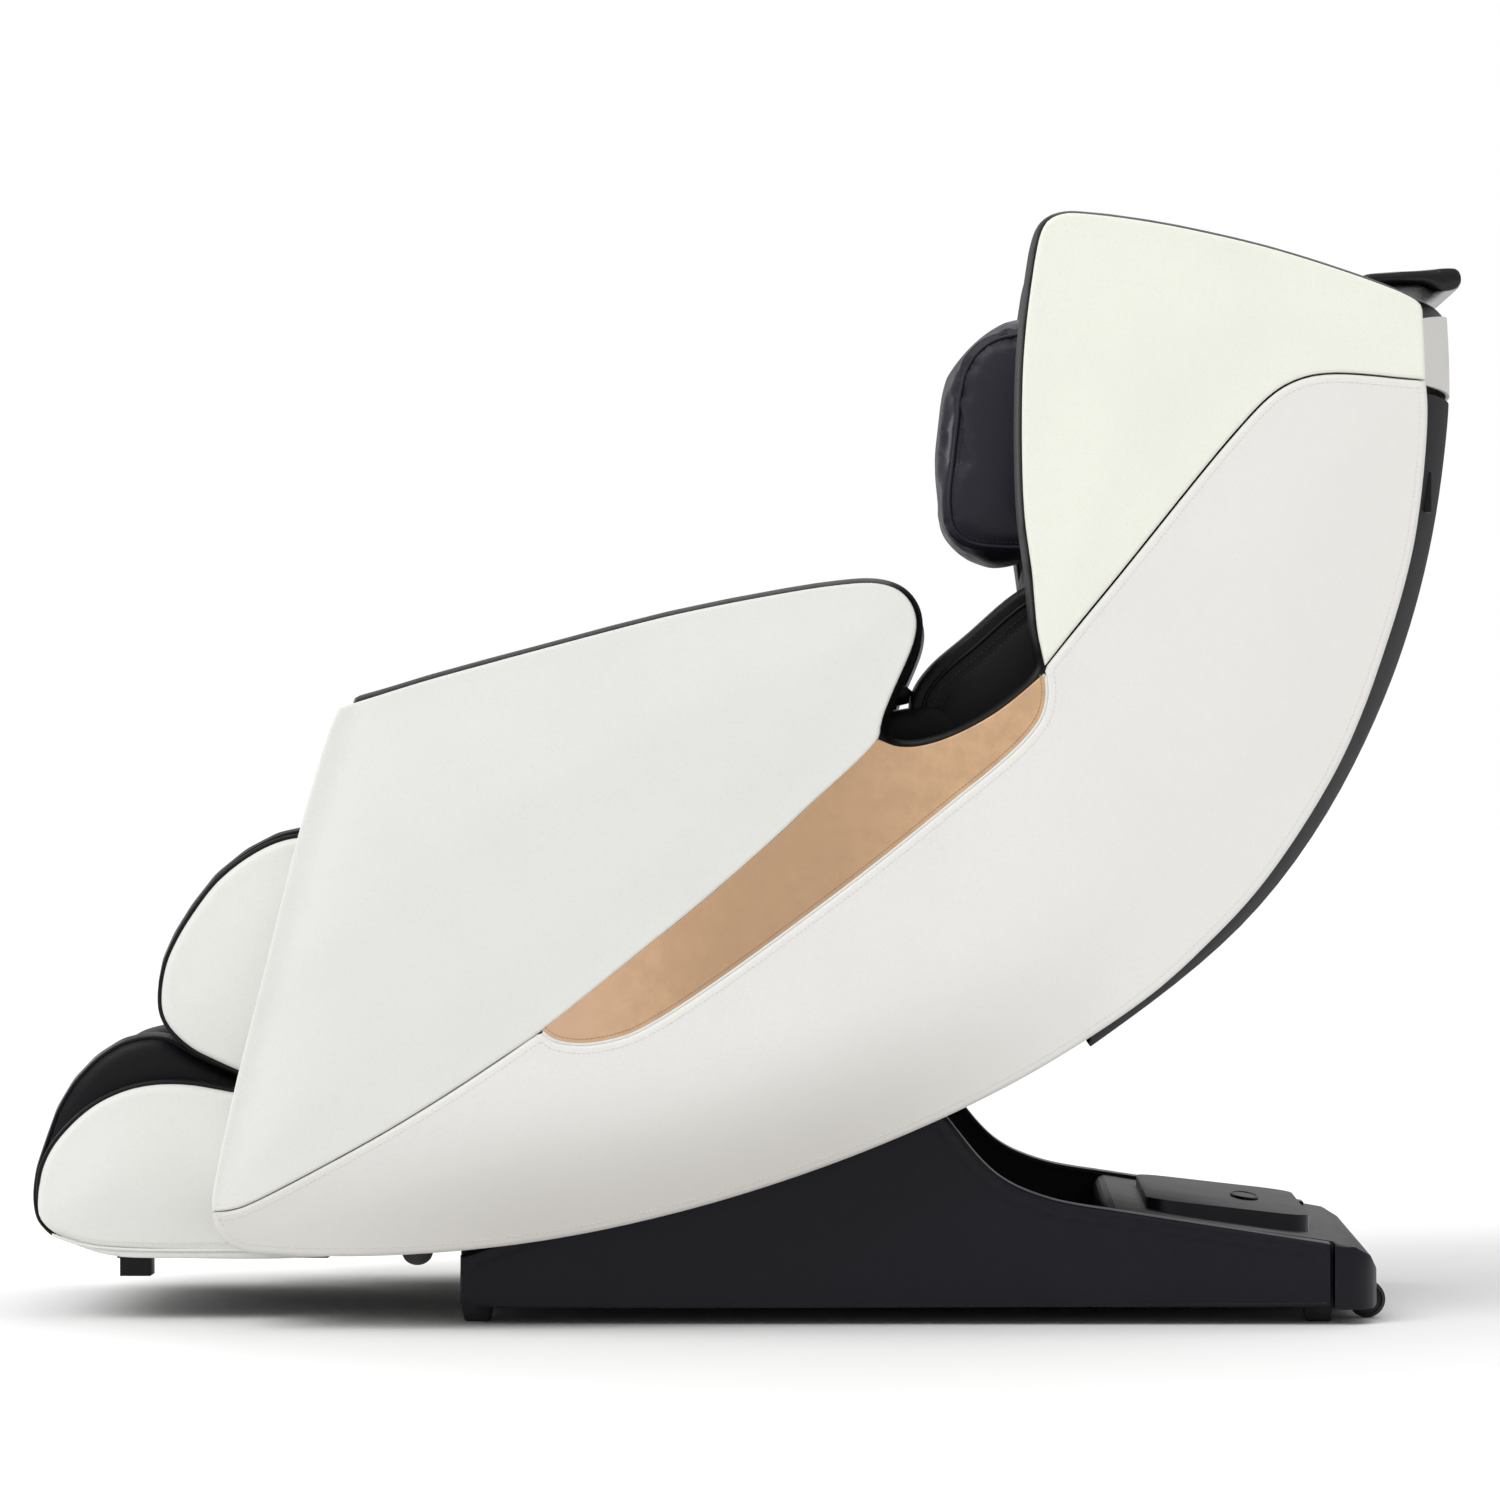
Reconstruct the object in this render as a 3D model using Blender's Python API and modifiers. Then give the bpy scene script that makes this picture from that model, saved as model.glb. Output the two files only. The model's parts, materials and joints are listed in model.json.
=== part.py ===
"""A full-body massage chair, in metres, +Z up, its front towards -Y and its left side at +X.

The origin is on the floor under the middle of the chair's length. A low base carries two steel towers.
The seat, back, arms and side shells are one body that rocks on a shaft across the towers. The legrest
hangs between two seat side plates at the knee, and its foot unit slides out along the calves. Behind the
back pad a carriage with four massage rollers travels on two guide rails.
"""

import math

import bmesh
import bpy
from mathutils import Euler, Matrix, Vector

# ---- Driving dimensions ----------------------------------------------------------------------------------
FRONT_END, REAR_END = -0.785, 0.757  # as the outlines are measured
CENTRING = -(FRONT_END + REAR_END) / 2  # moves the chair so that the origin is under its middle
HALF_WIDTH = 0.380
GAP = 0.0005  # between pieces that rest on each other
MERGE = 0.0001  # points closer than this are one
SEAM = 0.0008  # each panel stands back this far from its neighbour's edge

SHELL_IN = 0.352  # inner face of the outer side panels
LINING_IN, LINING_OUT = 0.264, SHELL_IN - GAP
PLATE_IN, PLATE_OUT = 0.2555, 0.2635  # the seat's steel side plates
LEG_HALF = 0.252  # half the width of the legrest
LEG_PANEL_IN = 0.228
CALF_PAD_HALF = 0.2145
BASE_HALF = 0.300
BASE_COVER_IN = 0.266
BASE_BOTTOM = 0.0165
CHASSIS_HALF, CHASSIS_FRONT, CHASSIS_REAR = 0.262, -0.320, 0.620
CHASSIS_Z, CHASSIS_T = 0.020, 0.005

TILT_Y, TILT_Z, TILT_SWING = 0.0, 0.33, math.radians(22)
KNEE_Y, KNEE_Z, KNEE_SWING = -0.46, 0.47, math.radians(75)
TILT_LEVER, KNEE_LEVER = 0.13, 0.15  # pivot to the furthest place of the pin in its slot
SHAFT_R, STUB_R, RUNNING_GAP = 0.015, 0.012, 0.0003
ROD_R, TUBE_R, BORE_R, PIN_R = 0.009, 0.021, 0.0105, 0.006
TILT_ROD_X, KNEE_ROD_X = -0.12, 0.0

CALF_LEAN = math.radians(13)  # the calves slope forward by this much
FOOT_TRAVEL, SLIDE_ROD_R = 0.08, 0.007
BACK_FOOT = Vector((0.215, 0.52))  # the straight front of the back pad starts here
BACK_LEAN = math.radians(15.95)
BACK_PAD_T = 0.055
ROLLER_R = 0.032
CARRIAGE_U = 0.13  # the carriage's middle, along the back from BACK_FOOT

# ---- Outlines in the side view, as (y, z) ----------------------------------------------------------------
ARM_TOP = [
    (-0.441, 0.656), (-0.348, 0.685), (-0.222, 0.719), (-0.096, 0.752), (0.030, 0.777), (0.093, 0.786),
    (0.125, 0.787), (0.148, 0.780), (0.162, 0.765), (0.167, 0.745), (0.162, 0.720), (0.147, 0.685),
    (0.132, 0.648), (0.1265, 0.6235),
]
FRONT_EDGE = [
    (-0.5725, 0.126), (-0.573, 0.140), (-0.566, 0.180), (-0.546, 0.270), (-0.517, 0.386), (-0.488, 0.504),
    (-0.462, 0.597), (-0.448, 0.640), (-0.441, 0.656),
]
SEAM_LINE = [(-0.227, 0.317), (-0.312, 0.260), (-0.395, 0.209), (-0.499, 0.153), (-0.545, 0.131),
             (-0.5725, 0.126)]
ACCENT_TOP = [(0.1265, 0.6235), (0.073, 0.572), (0.021, 0.522), (-0.066, 0.446), (-0.161, 0.370),
              (-0.227, 0.317)]
ACCENT_BOTTOM = [
    (-0.227, 0.317), (-0.215, 0.308), (-0.190, 0.303), (-0.159, 0.306), (-0.127, 0.316), (-0.064, 0.354),
    (0.030, 0.421), (0.125, 0.493), (0.219, 0.569), (0.251, 0.595), (0.282, 0.624), (0.299, 0.648),
    (0.304, 0.672), (0.302, 0.693),
]
NOTCH = [
    (0.302, 0.693), (0.278, 0.672), (0.249, 0.650), (0.206, 0.627), (0.170, 0.616), (0.145, 0.616),
    (0.1265, 0.6235),
]
SHOULDER_GAP = [
    (0.302, 0.699), (0.342, 0.749), (0.383, 0.799), (0.464, 0.900), (0.529, 0.975), (0.553, 0.994),
    (0.577, 1.004), (0.600, 1.0075), (0.630, 1.007), (0.672, 1.003), (0.703, 1.000),
]
SHOULDER_FRONT = [
    (0.302, 0.699), (0.294, 0.735), (0.288, 0.799), (0.281, 0.850), (0.278, 0.900), (0.278, 1.000),
    (0.282, 1.060), (0.290, 1.120), (0.296, 1.152), (0.304, 1.168), (0.318, 1.1755), (0.334, 1.177),
    (0.410, 1.168), (0.472, 1.156), (0.535, 1.141), (0.598, 1.122), (0.661, 1.100), (0.686, 1.089),
    (0.698, 1.080), (0.700, 1.068), (0.703, 1.000),
]
SHELL_REAR = [
    (0.703, 1.000), (0.705, 0.976), (0.703, 0.925), (0.690, 0.824), (0.661, 0.720), (0.614, 0.600),
    (0.535, 0.475), (0.472, 0.406), (0.409, 0.350), (0.282, 0.268), (0.156, 0.207), (0.030, 0.159),
    (-0.096, 0.122), (-0.222, 0.096), (-0.348, 0.082), (-0.450, 0.079), (-0.520, 0.082), (-0.545, 0.086),
    (-0.563, 0.098), (-0.572, 0.114), (-0.5725, 0.126),
]
LINING_INSIDE = [
    (0.690, 1.080), (0.655, 1.020), (0.590, 0.960), (0.515, 0.800), (0.420, 0.620), (0.300, 0.470),
    (0.120, 0.395), (-0.200, 0.398), (-0.430, 0.420), (-0.462, 0.500), (-0.440, 0.590), (-0.424, 0.640),
]
CALF_FRONT = [
    (-0.492, 0.522), (-0.520, 0.516), (-0.553, 0.499), (-0.585, 0.473), (-0.610, 0.441), (-0.628, 0.412),
    (-0.640, 0.385), (-0.646, 0.352), (-0.644, 0.328), (-0.634, 0.310), (-0.612, 0.290), (-0.585, 0.276),
    (-0.549, 0.261), (-0.500, 0.250), (-0.466, 0.250), (-0.448, 0.275), (-0.428, 0.345), (-0.410, 0.420),
    (-0.406, 0.465), (-0.418, 0.500), (-0.448, 0.521), (-0.492, 0.522),
]
FOOT_PANEL = [
    (-0.480, 0.236), (-0.561, 0.248), (-0.617, 0.257), (-0.656, 0.256), (-0.688, 0.248), (-0.719, 0.232),
    (-0.747, 0.207), (-0.765, 0.183), (-0.775, 0.157), (-0.776, 0.132), (-0.771, 0.110), (-0.757, 0.096),
    (-0.721, 0.082), (-0.666, 0.077), (-0.480, 0.077), (-0.460, 0.090), (-0.452, 0.150), (-0.458, 0.210),
    (-0.480, 0.236),
]
FOOT_PAD = [
    (-0.500, 0.232), (-0.560, 0.262), (-0.612, 0.286), (-0.640, 0.303), (-0.662, 0.305), (-0.690, 0.298),
    (-0.717, 0.281), (-0.741, 0.256), (-0.759, 0.226), (-0.772, 0.190), (-0.782, 0.160),
    (FRONT_END, 0.138), (FRONT_END, 0.124), (-0.782, 0.106), (-0.768, 0.090), (-0.735, 0.080),
    (-0.500, 0.080), (-0.483, 0.095), (-0.478, 0.150), (-0.484, 0.205), (-0.500, 0.232),
]
BASE_SIDE = [
    (-0.322, 0.078), (-0.240, 0.110), (-0.160, 0.170), (-0.095, 0.255), (-0.055, 0.330), (-0.030, 0.362),
    (0.000, 0.374), (0.035, 0.366), (0.080, 0.338), (0.140, 0.292), (0.202, 0.224), (0.229, 0.190),
    (0.251, 0.167), (0.276, 0.151), (0.319, 0.136), (0.372, 0.127), (0.474, 0.111), (0.602, 0.092),
    (0.6115, 0.0905),
]
BASE_REAR_TOP = [
    (0.368, 0.0165), (0.368, 0.112), (0.376, 0.1225), (0.474, 0.1070), (0.600, 0.0890), (0.634, 0.0830),
    (0.651, 0.073), (0.659, 0.057), (0.659, 0.0165),
]
REAR_COVER_MIDDLE = [  # the back cover's crown, at the chair's middle
    (0.7530, 0.990), (0.7520, 0.970), (0.7430, 0.890), (0.7280, 0.810), (0.7060, 0.730), (0.6760, 0.650),
    (0.6240, 0.543), (0.5480, 0.436), (0.4580, 0.356), (0.3570, 0.285),
]
REAR_COVER_EDGE = [  # its edge against each side panel
    (0.698, 0.990), (0.698, 0.960), (0.692, 0.880), (0.676, 0.795), (0.650, 0.712), (0.614, 0.625),
    (0.560, 0.535), (0.485, 0.437), (0.425, 0.380), (0.352, 0.316),
]
PILLOW = [
    (0.3685, 1.078), (0.325, 1.078), (0.280, 1.073), (0.243, 1.062), (0.220, 1.040), (0.207, 1.005),
    (0.201, 0.962), (0.197, 0.925), (0.195, 0.884), (0.197, 0.858), (0.206, 0.840), (0.226, 0.829),
    (0.256, 0.8255), (0.294, 0.8255),
]
WAIST_WING = [
    (0.287, 0.786), (0.219, 0.732), (0.180, 0.698), (0.163, 0.672), (0.160, 0.645), (0.167, 0.600),
    (0.165, 0.540), (0.150, 0.475), (0.200, 0.462), (0.290, 0.520), (0.345, 0.620), (0.372, 0.720),
    (0.340, 0.790), (0.287, 0.786),
]


# ---- Shape helpers ---------------------------------------------------------------------------------------
def clear_scene():
    for obj in list(bpy.data.objects):
        bpy.data.objects.remove(obj, do_unlink=True)


def make_collection(name):
    collection = bpy.data.collections.new(name)
    bpy.context.scene.collection.children.link(collection)
    return collection


def make_material(name, colour, roughness, metallic=0.0):
    material = bpy.data.materials.new(name)
    material.use_nodes = True
    shader = material.node_tree.nodes["Principled BSDF"]
    shader.inputs["Base Color"].default_value = (*colour, 1.0)
    shader.inputs["Roughness"].default_value = roughness
    shader.inputs["Metallic"].default_value = metallic
    return material


def place(obj, material, collection=None):
    """Puts obj in the chair's collection with its material and smooth shading."""
    for old in list(obj.users_collection):
        old.objects.unlink(obj)
    (collection or CHAIR).objects.link(obj)
    obj.data.materials.clear()
    obj.data.materials.append(material)
    if obj.type == "MESH":
        obj.data.shade_smooth()
        obj.data.set_sharp_from_angle(angle=math.radians(40))
    return obj


def as_cutter(obj):
    """A helper that shapes another piece and isn't one itself."""
    place(obj, CUT, CUTTERS)
    obj.hide_render = True
    obj.display_type = "WIRE"
    return obj


def smooth(points, steps=3):
    """A Catmull-Rom curve through the points, its parameter going by the square root of the distance."""
    p = [Vector(q) for q in points]
    p = [2 * p[0] - p[1], *p, 2 * p[-1] - p[-2]]
    made = []
    for a, b, c, d in zip(p, p[1:], p[2:], p[3:]):
        t1 = math.sqrt((b - a).length)
        t2 = t1 + math.sqrt((c - b).length)
        t3 = t2 + math.sqrt((d - c).length)
        for k in range(steps):
            t = t1 + (t2 - t1) * k / steps
            ab = a.lerp(b, t / t1)
            bc = b.lerp(c, (t - t1) / (t2 - t1))
            cd = c.lerp(d, (t - t2) / (t3 - t2))
            abc = ab.lerp(bc, t / t2)
            bcd = bc.lerp(cd, (t - t1) / (t3 - t1))
            made.append(abc.lerp(bcd, (t - t1) / (t2 - t1)))
    return [*made, p[-2]]


def joined(*runs):
    """One closed outline from runs that each start where the last one ended."""
    points = []
    for run in runs:
        points += run[:-1]
    return points


def area_of(points):
    return sum(a.x * b.y - b.x * a.y for a, b in zip(points, points[1:] + points[:1])) / 2


def inset(points, amount):
    """A closed outline moved inwards by amount, or outwards if it is negative, with mitred corners."""
    turn = 1 if area_of(points) > 0 else -1
    made = []
    for before, here, after in zip(points[-1:] + points[:-1], points, points[1:] + points[:1]):
        d1, d2 = (here - before).normalized(), (after - here).normalized()
        n1, n2 = Vector((-d1.y, d1.x)) * turn, Vector((-d2.y, d2.x)) * turn
        middle = (n1 + n2).normalized()
        made.append(here + middle * amount / max(0.5, middle.dot(n1)))
    return made


def mesh_of(obj):
    """A mesh object with the evaluated shape of a curve, welded, in place of the curve."""
    bpy.context.view_layer.update()
    graph = bpy.context.evaluated_depsgraph_get()
    mesh = bpy.data.meshes.new_from_object(obj.evaluated_get(graph))
    made = bpy.data.objects.new(obj.name, mesh)
    mesh.transform(obj.matrix_world)
    name = obj.name
    bpy.data.objects.remove(obj, do_unlink=True)
    made.name = name
    bm = bmesh.new()
    bm.from_mesh(mesh)
    bmesh.ops.remove_doubles(bm, verts=bm.verts, dist=1e-5)
    bmesh.ops.dissolve_degenerate(bm, edges=bm.edges, dist=1e-6)
    bmesh.ops.recalc_face_normals(bm, faces=bm.faces)
    bm.to_mesh(mesh)
    bm.free()
    return made


def plate(name, outline, x0, x1, material, bevel=0.0, holes=(), segments=1):
    """A flat outline of the side view, as thick as from x0 to x1, with any round holes as (y, z, radius)."""
    curve = bpy.data.curves.new(name, "CURVE")
    curve.dimensions = "2D"
    curve.fill_mode = "BOTH"
    curve.extrude = abs(x1 - x0) / 2
    rings = [outline]
    for y, z, r in holes:
        rings.append([Vector((y + r * math.cos(a), z + r * math.sin(a))) for a in full_turn(32)])
    for ring in rings:
        spline = curve.splines.new("POLY")
        spline.points.add(len(ring) - 1)
        for point, at in zip(spline.points, ring):
            point.co = (at[0], at[1], 0, 1)
        spline.use_cyclic_u = True
    obj = bpy.data.objects.new(name, curve)
    CHAIR.objects.link(obj)
    # The curve's own X, Y and Z become the chair's Y, Z and X.
    obj.rotation_euler = Euler((math.pi / 2, 0, math.pi / 2))
    obj.location = ((x0 + x1) / 2, 0, 0)
    obj = place(mesh_of(obj), material)
    if bevel:
        add_bevel(obj, bevel, segments)
    return obj


def full_turn(count):
    return [2 * math.pi * k / count for k in range(count)]


def add_bevel(obj, width, segments=1, angle=35):
    modifier = obj.modifiers.new("edges", "BEVEL")
    modifier.width = width
    modifier.segments = segments
    modifier.limit_method = "ANGLE"
    modifier.angle_limit = math.radians(angle)


def box(name, low, high, material, bevel=0.0, segments=1):
    bpy.ops.mesh.primitive_cube_add(size=1)
    obj = bpy.context.object
    obj.name = name
    size, middle = Vector(high) - Vector(low), (Vector(high) + Vector(low)) / 2
    obj.data.transform(Matrix.LocRotScale(middle, None, size))
    place(obj, material)
    if bevel:
        add_bevel(obj, bevel, segments)
    return obj


def span_box(name, corner, opposite):
    """A box between two corners in any order, for joining to or cutting from another piece."""
    low = [min(a, b) for a, b in zip(corner, opposite)]
    high = [max(a, b) for a, b in zip(corner, opposite)]
    return box(name, low, high, CUT)


def cylinder(name, start, end, radius, material, sides=20, bevel=0.0):
    """A round bar between two points."""
    start, end = Vector(start), Vector(end)
    bpy.ops.mesh.primitive_cylinder_add(vertices=sides, radius=radius, depth=(end - start).length)
    obj = bpy.context.object
    obj.name = name
    turn = (end - start).to_track_quat("Z", "Y")
    obj.data.transform(Matrix.LocRotScale((start + end) / 2, turn, None))
    place(obj, material)
    if bevel:
        add_bevel(obj, bevel)
    return obj


def combine(obj, other, operation):
    modifier = obj.modifiers.new(operation.lower(), "BOOLEAN")
    modifier.operation = operation
    modifier.object = as_cutter(other)
    return obj


def cut(obj, *others):
    for other in others:
        combine(obj, other, "DIFFERENCE")
    return obj


def join(obj, *others):
    for other in others:
        combine(obj, other, "UNION")
    return obj


def both_sides(make):
    """Makes the left piece (+X) and the right one (-X)."""
    for side, word in ((1, "left"), (-1, "right")):
        make(side, word)


def on_axis(obj, y, z, x=0.0):
    """Moves the object's origin to a joint's axis without moving its shape."""
    obj.data.transform(Matrix.Translation((-x, -y, -z)))
    obj.location = (x, y, z)
    return obj


# ---- Base ------------------------------------------------------------------------------------------------
TOWER = [
    (-0.135, 0.0220), (0.150, 0.0220), (0.150, 0.060), (0.062, 0.250), (0.042, 0.338), (0.022, 0.362),
    (0.0, 0.368), (-0.022, 0.362), (-0.040, 0.338), (-0.058, 0.250), (-0.135, 0.060),
]
FOOT_HALF_TOP, FOOT_HALF_BOTTOM, FOOT_H = 0.0165, 0.0135, CHASSIS_Z - GAP
FOOT_X, FOOT_FRONT_Y, FOOT_REAR_Y = 0.238, -0.304, 0.597
WHEEL_R, WHEEL_T, WHEEL_X, WHEEL_Y, WHEEL_Z = 0.020, 0.018, 0.200, 0.652, 0.0202
WHEEL_AXLE_R = 0.004
SOCKET_X, SOCKET_Z = -0.130, 0.044
SOCKET_HALF_W, SOCKET_HALF_H = 0.042, 0.016
SWITCH_X = SOCKET_X + 0.019


def base_frame():
    """A pressed steel floor with a front upstand, two welded towers and axle ears for each wheel."""
    floor = box("base_frame", (-CHASSIS_HALF, CHASSIS_FRONT, CHASSIS_Z),
                (CHASSIS_HALF, CHASSIS_REAR, CHASSIS_Z + CHASSIS_T), STEEL)
    upstand = box("front_upstand", (-CHASSIS_HALF, CHASSIS_FRONT, CHASSIS_Z + 0.001),
                  (CHASSIS_HALF, CHASSIS_FRONT + CHASSIS_T, 0.078), STEEL)
    join(floor, upstand)
    for side in (1, -1):
        for offset in (-0.016, 0.016):
            x = side * WHEEL_X + offset
            ear = box("axle_ear", (x - 0.003, 0.600, 0.0145), (x + 0.003, WHEEL_Y + 0.0055, 0.038), STEEL)
            join(floor, ear)
        x0, x1 = sorted((side * 0.240, side * 0.252))
        tower = plate("tilt_tower", [Vector(p) for p in TOWER], x0, x1, CUT,
                      holes=[(TILT_Y, TILT_Z, SHAFT_R + RUNNING_GAP)])
        join(floor, tower)
        join(floor, cylinder("wheel_axle", (side * WHEEL_X - 0.017, WHEEL_Y, WHEEL_Z),
                             (side * WHEEL_X + 0.017, WHEEL_Y, WHEEL_Z), WHEEL_AXLE_R, CUT, sides=32))
    return floor


def base_side_cover(side, word):
    """A tray of moulded plastic, open towards the chair's middle."""
    top = smooth(BASE_SIDE, 2)
    outline = [*top, Vector((0.6115, BASE_BOTTOM)), Vector((-0.316, BASE_BOTTOM)), Vector((-0.322, 0.023))]
    x0, x1 = sorted((side * BASE_COVER_IN, side * BASE_HALF))
    cover = plate(f"base_side_cover_{word}", outline, x0, x1, BASE_BLACK)
    c0, c1 = sorted((side * (BASE_COVER_IN - 0.01), side * (BASE_HALF - 0.004)))
    cut(cover, plate("tray_room", inset(outline, 0.004), c0, c1, CUT))
    add_bevel(cover, 0.0015)


def base_rear_cover():
    """The lid over the electrics: a sloping top with a raised block, round rear corners, open underneath."""
    profile = [Vector(p) for p in BASE_REAR_TOP]
    cover = plate("base_rear_cover", profile, -BASE_HALF, BASE_HALF, BASE_BLACK)
    add_bevel(cover, 0.004, 1)
    corner, side = 0.045, BASE_HALF
    plan = [(-side, 0.612), (side, 0.612)]
    for a in range(0, 91, 15):
        angle = math.radians(a)
        plan.append((side - corner + corner * math.cos(angle), 0.659 - corner + corner * math.sin(angle)))
    plan += [(-x, y) for x, y in reversed(plan[2:])]
    keep = flat_block("rear_plan", plan, 0.0, 0.20)
    middle = box("rear_plan_middle", (-BASE_COVER_IN + GAP, 0.30, 0.001),
                 (BASE_COVER_IN - GAP, 0.630, 0.199), CUT)
    join(keep, middle)
    combine(cover, keep, "INTERSECT")
    block = flat_block("raised_block", rounded_plan(0.200, 0.415, 0.592, 0.035), 0.085, 0.1285)
    add_bevel(block, 0.006, 2)
    join(cover, block)
    slope = box("raised_slope", (-0.30, 0.30, 0.0), (0.30, 0.75, 0.10), CUT)
    slope.data.transform(Matrix.Translation((0, 0.42, 0.128)) @ Matrix.Rotation(math.radians(-6.5), 4, "X")
                         @ Matrix.Translation((0, -0.42, 0)))
    cut(cover, slope)
    wall = 0.004
    room = [(0.368 + wall, 0.0), (0.368 + wall, 0.108), (0.379, 0.1175), (0.600, 0.0840), (0.632, 0.0785),
            (0.647, 0.0700), (0.655, 0.055), (0.655, 0.0)]
    hollow = plate("rear_room", [Vector(p) for p in room], -BASE_COVER_IN + 0.005, BASE_COVER_IN - 0.005,
                   CUT)
    cut(cover, hollow)
    cut(cover,
        box("floor_room", (-CHASSIS_HALF - 0.002, 0.36, 0.0), (CHASSIS_HALF + 0.002, CHASSIS_REAR + 0.002,
                                                                    CHASSIS_Z + CHASSIS_T + GAP), CUT))
    cut(cover, box("socket_room", (SOCKET_X - SOCKET_HALF_W, 0.649, SOCKET_Z - SOCKET_HALF_H),
                   (SOCKET_X + SOCKET_HALF_W, 0.68, SOCKET_Z + SOCKET_HALF_H), CUT))
    for side in (1, -1):
        cut(cover,
            box("wheel_room", (side * WHEEL_X - 0.022, 0.62, 0.0), (side * WHEEL_X + 0.022, 0.68, 0.047),
                CUT))
    return cover


def rounded_plan(half, front, rear, corner):
    """A rectangle in the top view, as (x, y), with round corners."""
    plan = []
    for k, (x, y) in enumerate(((half, rear), (-half, rear), (-half, front), (half, front))):
        centre = Vector((x - math.copysign(corner, x), y + (-corner if y == rear else corner)))
        for step in range(0, 91, 18):
            angle = math.radians(90 * k + step)
            plan.append(centre + Vector((math.cos(angle), math.sin(angle))) * corner)
    return plan


def flat_block(name, plan, z0, z1):
    """An upright block with the given outline in the top view, as (x, y)."""
    curve = bpy.data.curves.new(name, "CURVE")
    curve.dimensions = "2D"
    curve.fill_mode = "BOTH"
    curve.extrude = (z1 - z0) / 2
    spline = curve.splines.new("POLY")
    spline.points.add(len(plan) - 1)
    for point, (x, y) in zip(spline.points, plan):
        point.co = (x, y, 0, 1)
    spline.use_cyclic_u = True
    obj = bpy.data.objects.new(name, curve)
    CHAIR.objects.link(obj)
    obj.location = (0, 0, (z0 + z1) / 2)
    return place(mesh_of(obj), CUT)


def rubber_foot(name, x, y):
    bpy.ops.mesh.primitive_cone_add(vertices=4, radius1=FOOT_HALF_BOTTOM * math.sqrt(2),
                                    radius2=FOOT_HALF_TOP * math.sqrt(2), depth=FOOT_H)
    obj = bpy.context.object
    obj.name = name
    obj.data.transform(Matrix.Translation((x, y, FOOT_H / 2)) @ Matrix.Rotation(math.pi / 4, 4, "Z"))
    place(obj, RUBBER)
    add_bevel(obj, 0.002)


def transport_wheel(side, word):
    """A small wheel under the rear corner, turned from a profile with a tread groove."""
    x, half = side * WHEEL_X, WHEEL_T / 2
    profile = [(WHEEL_AXLE_R + RUNNING_GAP, half), (0.016, half), (WHEEL_R, half - 0.003),
               (WHEEL_R, 0.003 - half),
               (0.016, -half), (WHEEL_AXLE_R + RUNNING_GAP, -half)]
    turned(f"transport_wheel_{word}", (x, WHEEL_Y, WHEEL_Z), profile, RUBBER)


def power_parts():
    """The mains inlet with its rocker switch, behind the rear cover's window, and the power supply."""
    low = (SOCKET_X - SOCKET_HALF_W + GAP, 0.634, SOCKET_Z - SOCKET_HALF_H + GAP)
    high = (SOCKET_X + SOCKET_HALF_W - GAP, 0.6595, SOCKET_Z + SOCKET_HALF_H - GAP)
    socket = box("power_socket", low, high, PLASTIC)
    cut(socket, box("inlet_well", (SOCKET_X - 0.036, 0.644, SOCKET_Z - 0.010), (SOCKET_X - 0.008, 0.680,
                                                                              SOCKET_Z + 0.010), CUT))
    cut(socket, box("switch_well", (SWITCH_X - 0.001, 0.646, SOCKET_Z - 0.012), (SWITCH_X + 0.020, 0.680,
                                                                                SOCKET_Z + 0.012), CUT))
    middle = SWITCH_X + 0.0095
    rocker = [Vector(p) for p in ((0.6495, SOCKET_Z), (0.6580, SOCKET_Z - 0.0095),
                                  (0.6595, SOCKET_Z - 0.0095),
                                  (0.6580, SOCKET_Z), (0.6630, SOCKET_Z + 0.0095),
                                  (0.6595, SOCKET_Z + 0.0100))]
    switch = plate("power_switch", rocker, middle - 0.0085, middle + 0.0085, PLASTIC)
    on_axis(switch, 0.6495, SOCKET_Z, middle)
    box("power_supply", (-0.20, 0.44, CHASSIS_Z + CHASSIS_T + GAP), (0.06, 0.585, 0.074), STEEL, bevel=0.003)


def actuator(name, x, z, pin_y, fork_depth, tube, spare, foot):
    """A linear drive along Y: a bored tube with its motor and foot, and a rod with a forked end and a pin.

    tube holds the tube's open end and its closed end, and spare is the room left behind the rod at rest.
    """
    way = 1 if tube[1] > tube[0] else -1
    mouth, end = tube
    body = cylinder(name, (x, mouth, z), (x, end, z), TUBE_R, STEEL)
    gear = span_box(f"{name}_gear", (x - 0.026, end - way * 0.055, z - 0.018),
                    (x + 0.060, end - way * 0.005, z + 0.018))
    motor = cylinder(f"{name}_motor", (x + 0.048, end - way * 0.150, z), (x + 0.048, end - way * 0.010, z),
                     0.0215, CUT)
    join(body, gear, motor, span_box(f"{name}_foot", *foot))
    cut(body, cylinder(f"{name}_bore", (x, mouth - way * 0.01, z), (x, end - way * 0.012, z), BORE_R, CUT))
    base = pin_y + way * fork_depth
    fork = span_box(f"{name}_rod", (x - 0.020, pin_y - way * 0.012, z - 0.013),
                    (x + 0.020, base + way * 0.012, z + 0.013))
    place(fork, STEEL)
    cut(fork,
        span_box(f"{name}_fork_gap", (x - 0.0105, pin_y - way * 0.02, z - 0.02),
                 (x + 0.0105, base, z + 0.02)))
    rod = cylinder(f"{name}_rod_bar", (x, base + way * 0.006, z), (x, end - way * spare, z), ROD_R, CUT)
    pin = cylinder(f"{name}_rod_pin", (x - 0.018, pin_y, z), (x + 0.018, pin_y, z), PIN_R, CUT, sides=12)
    join(fork, rod, pin)


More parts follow.
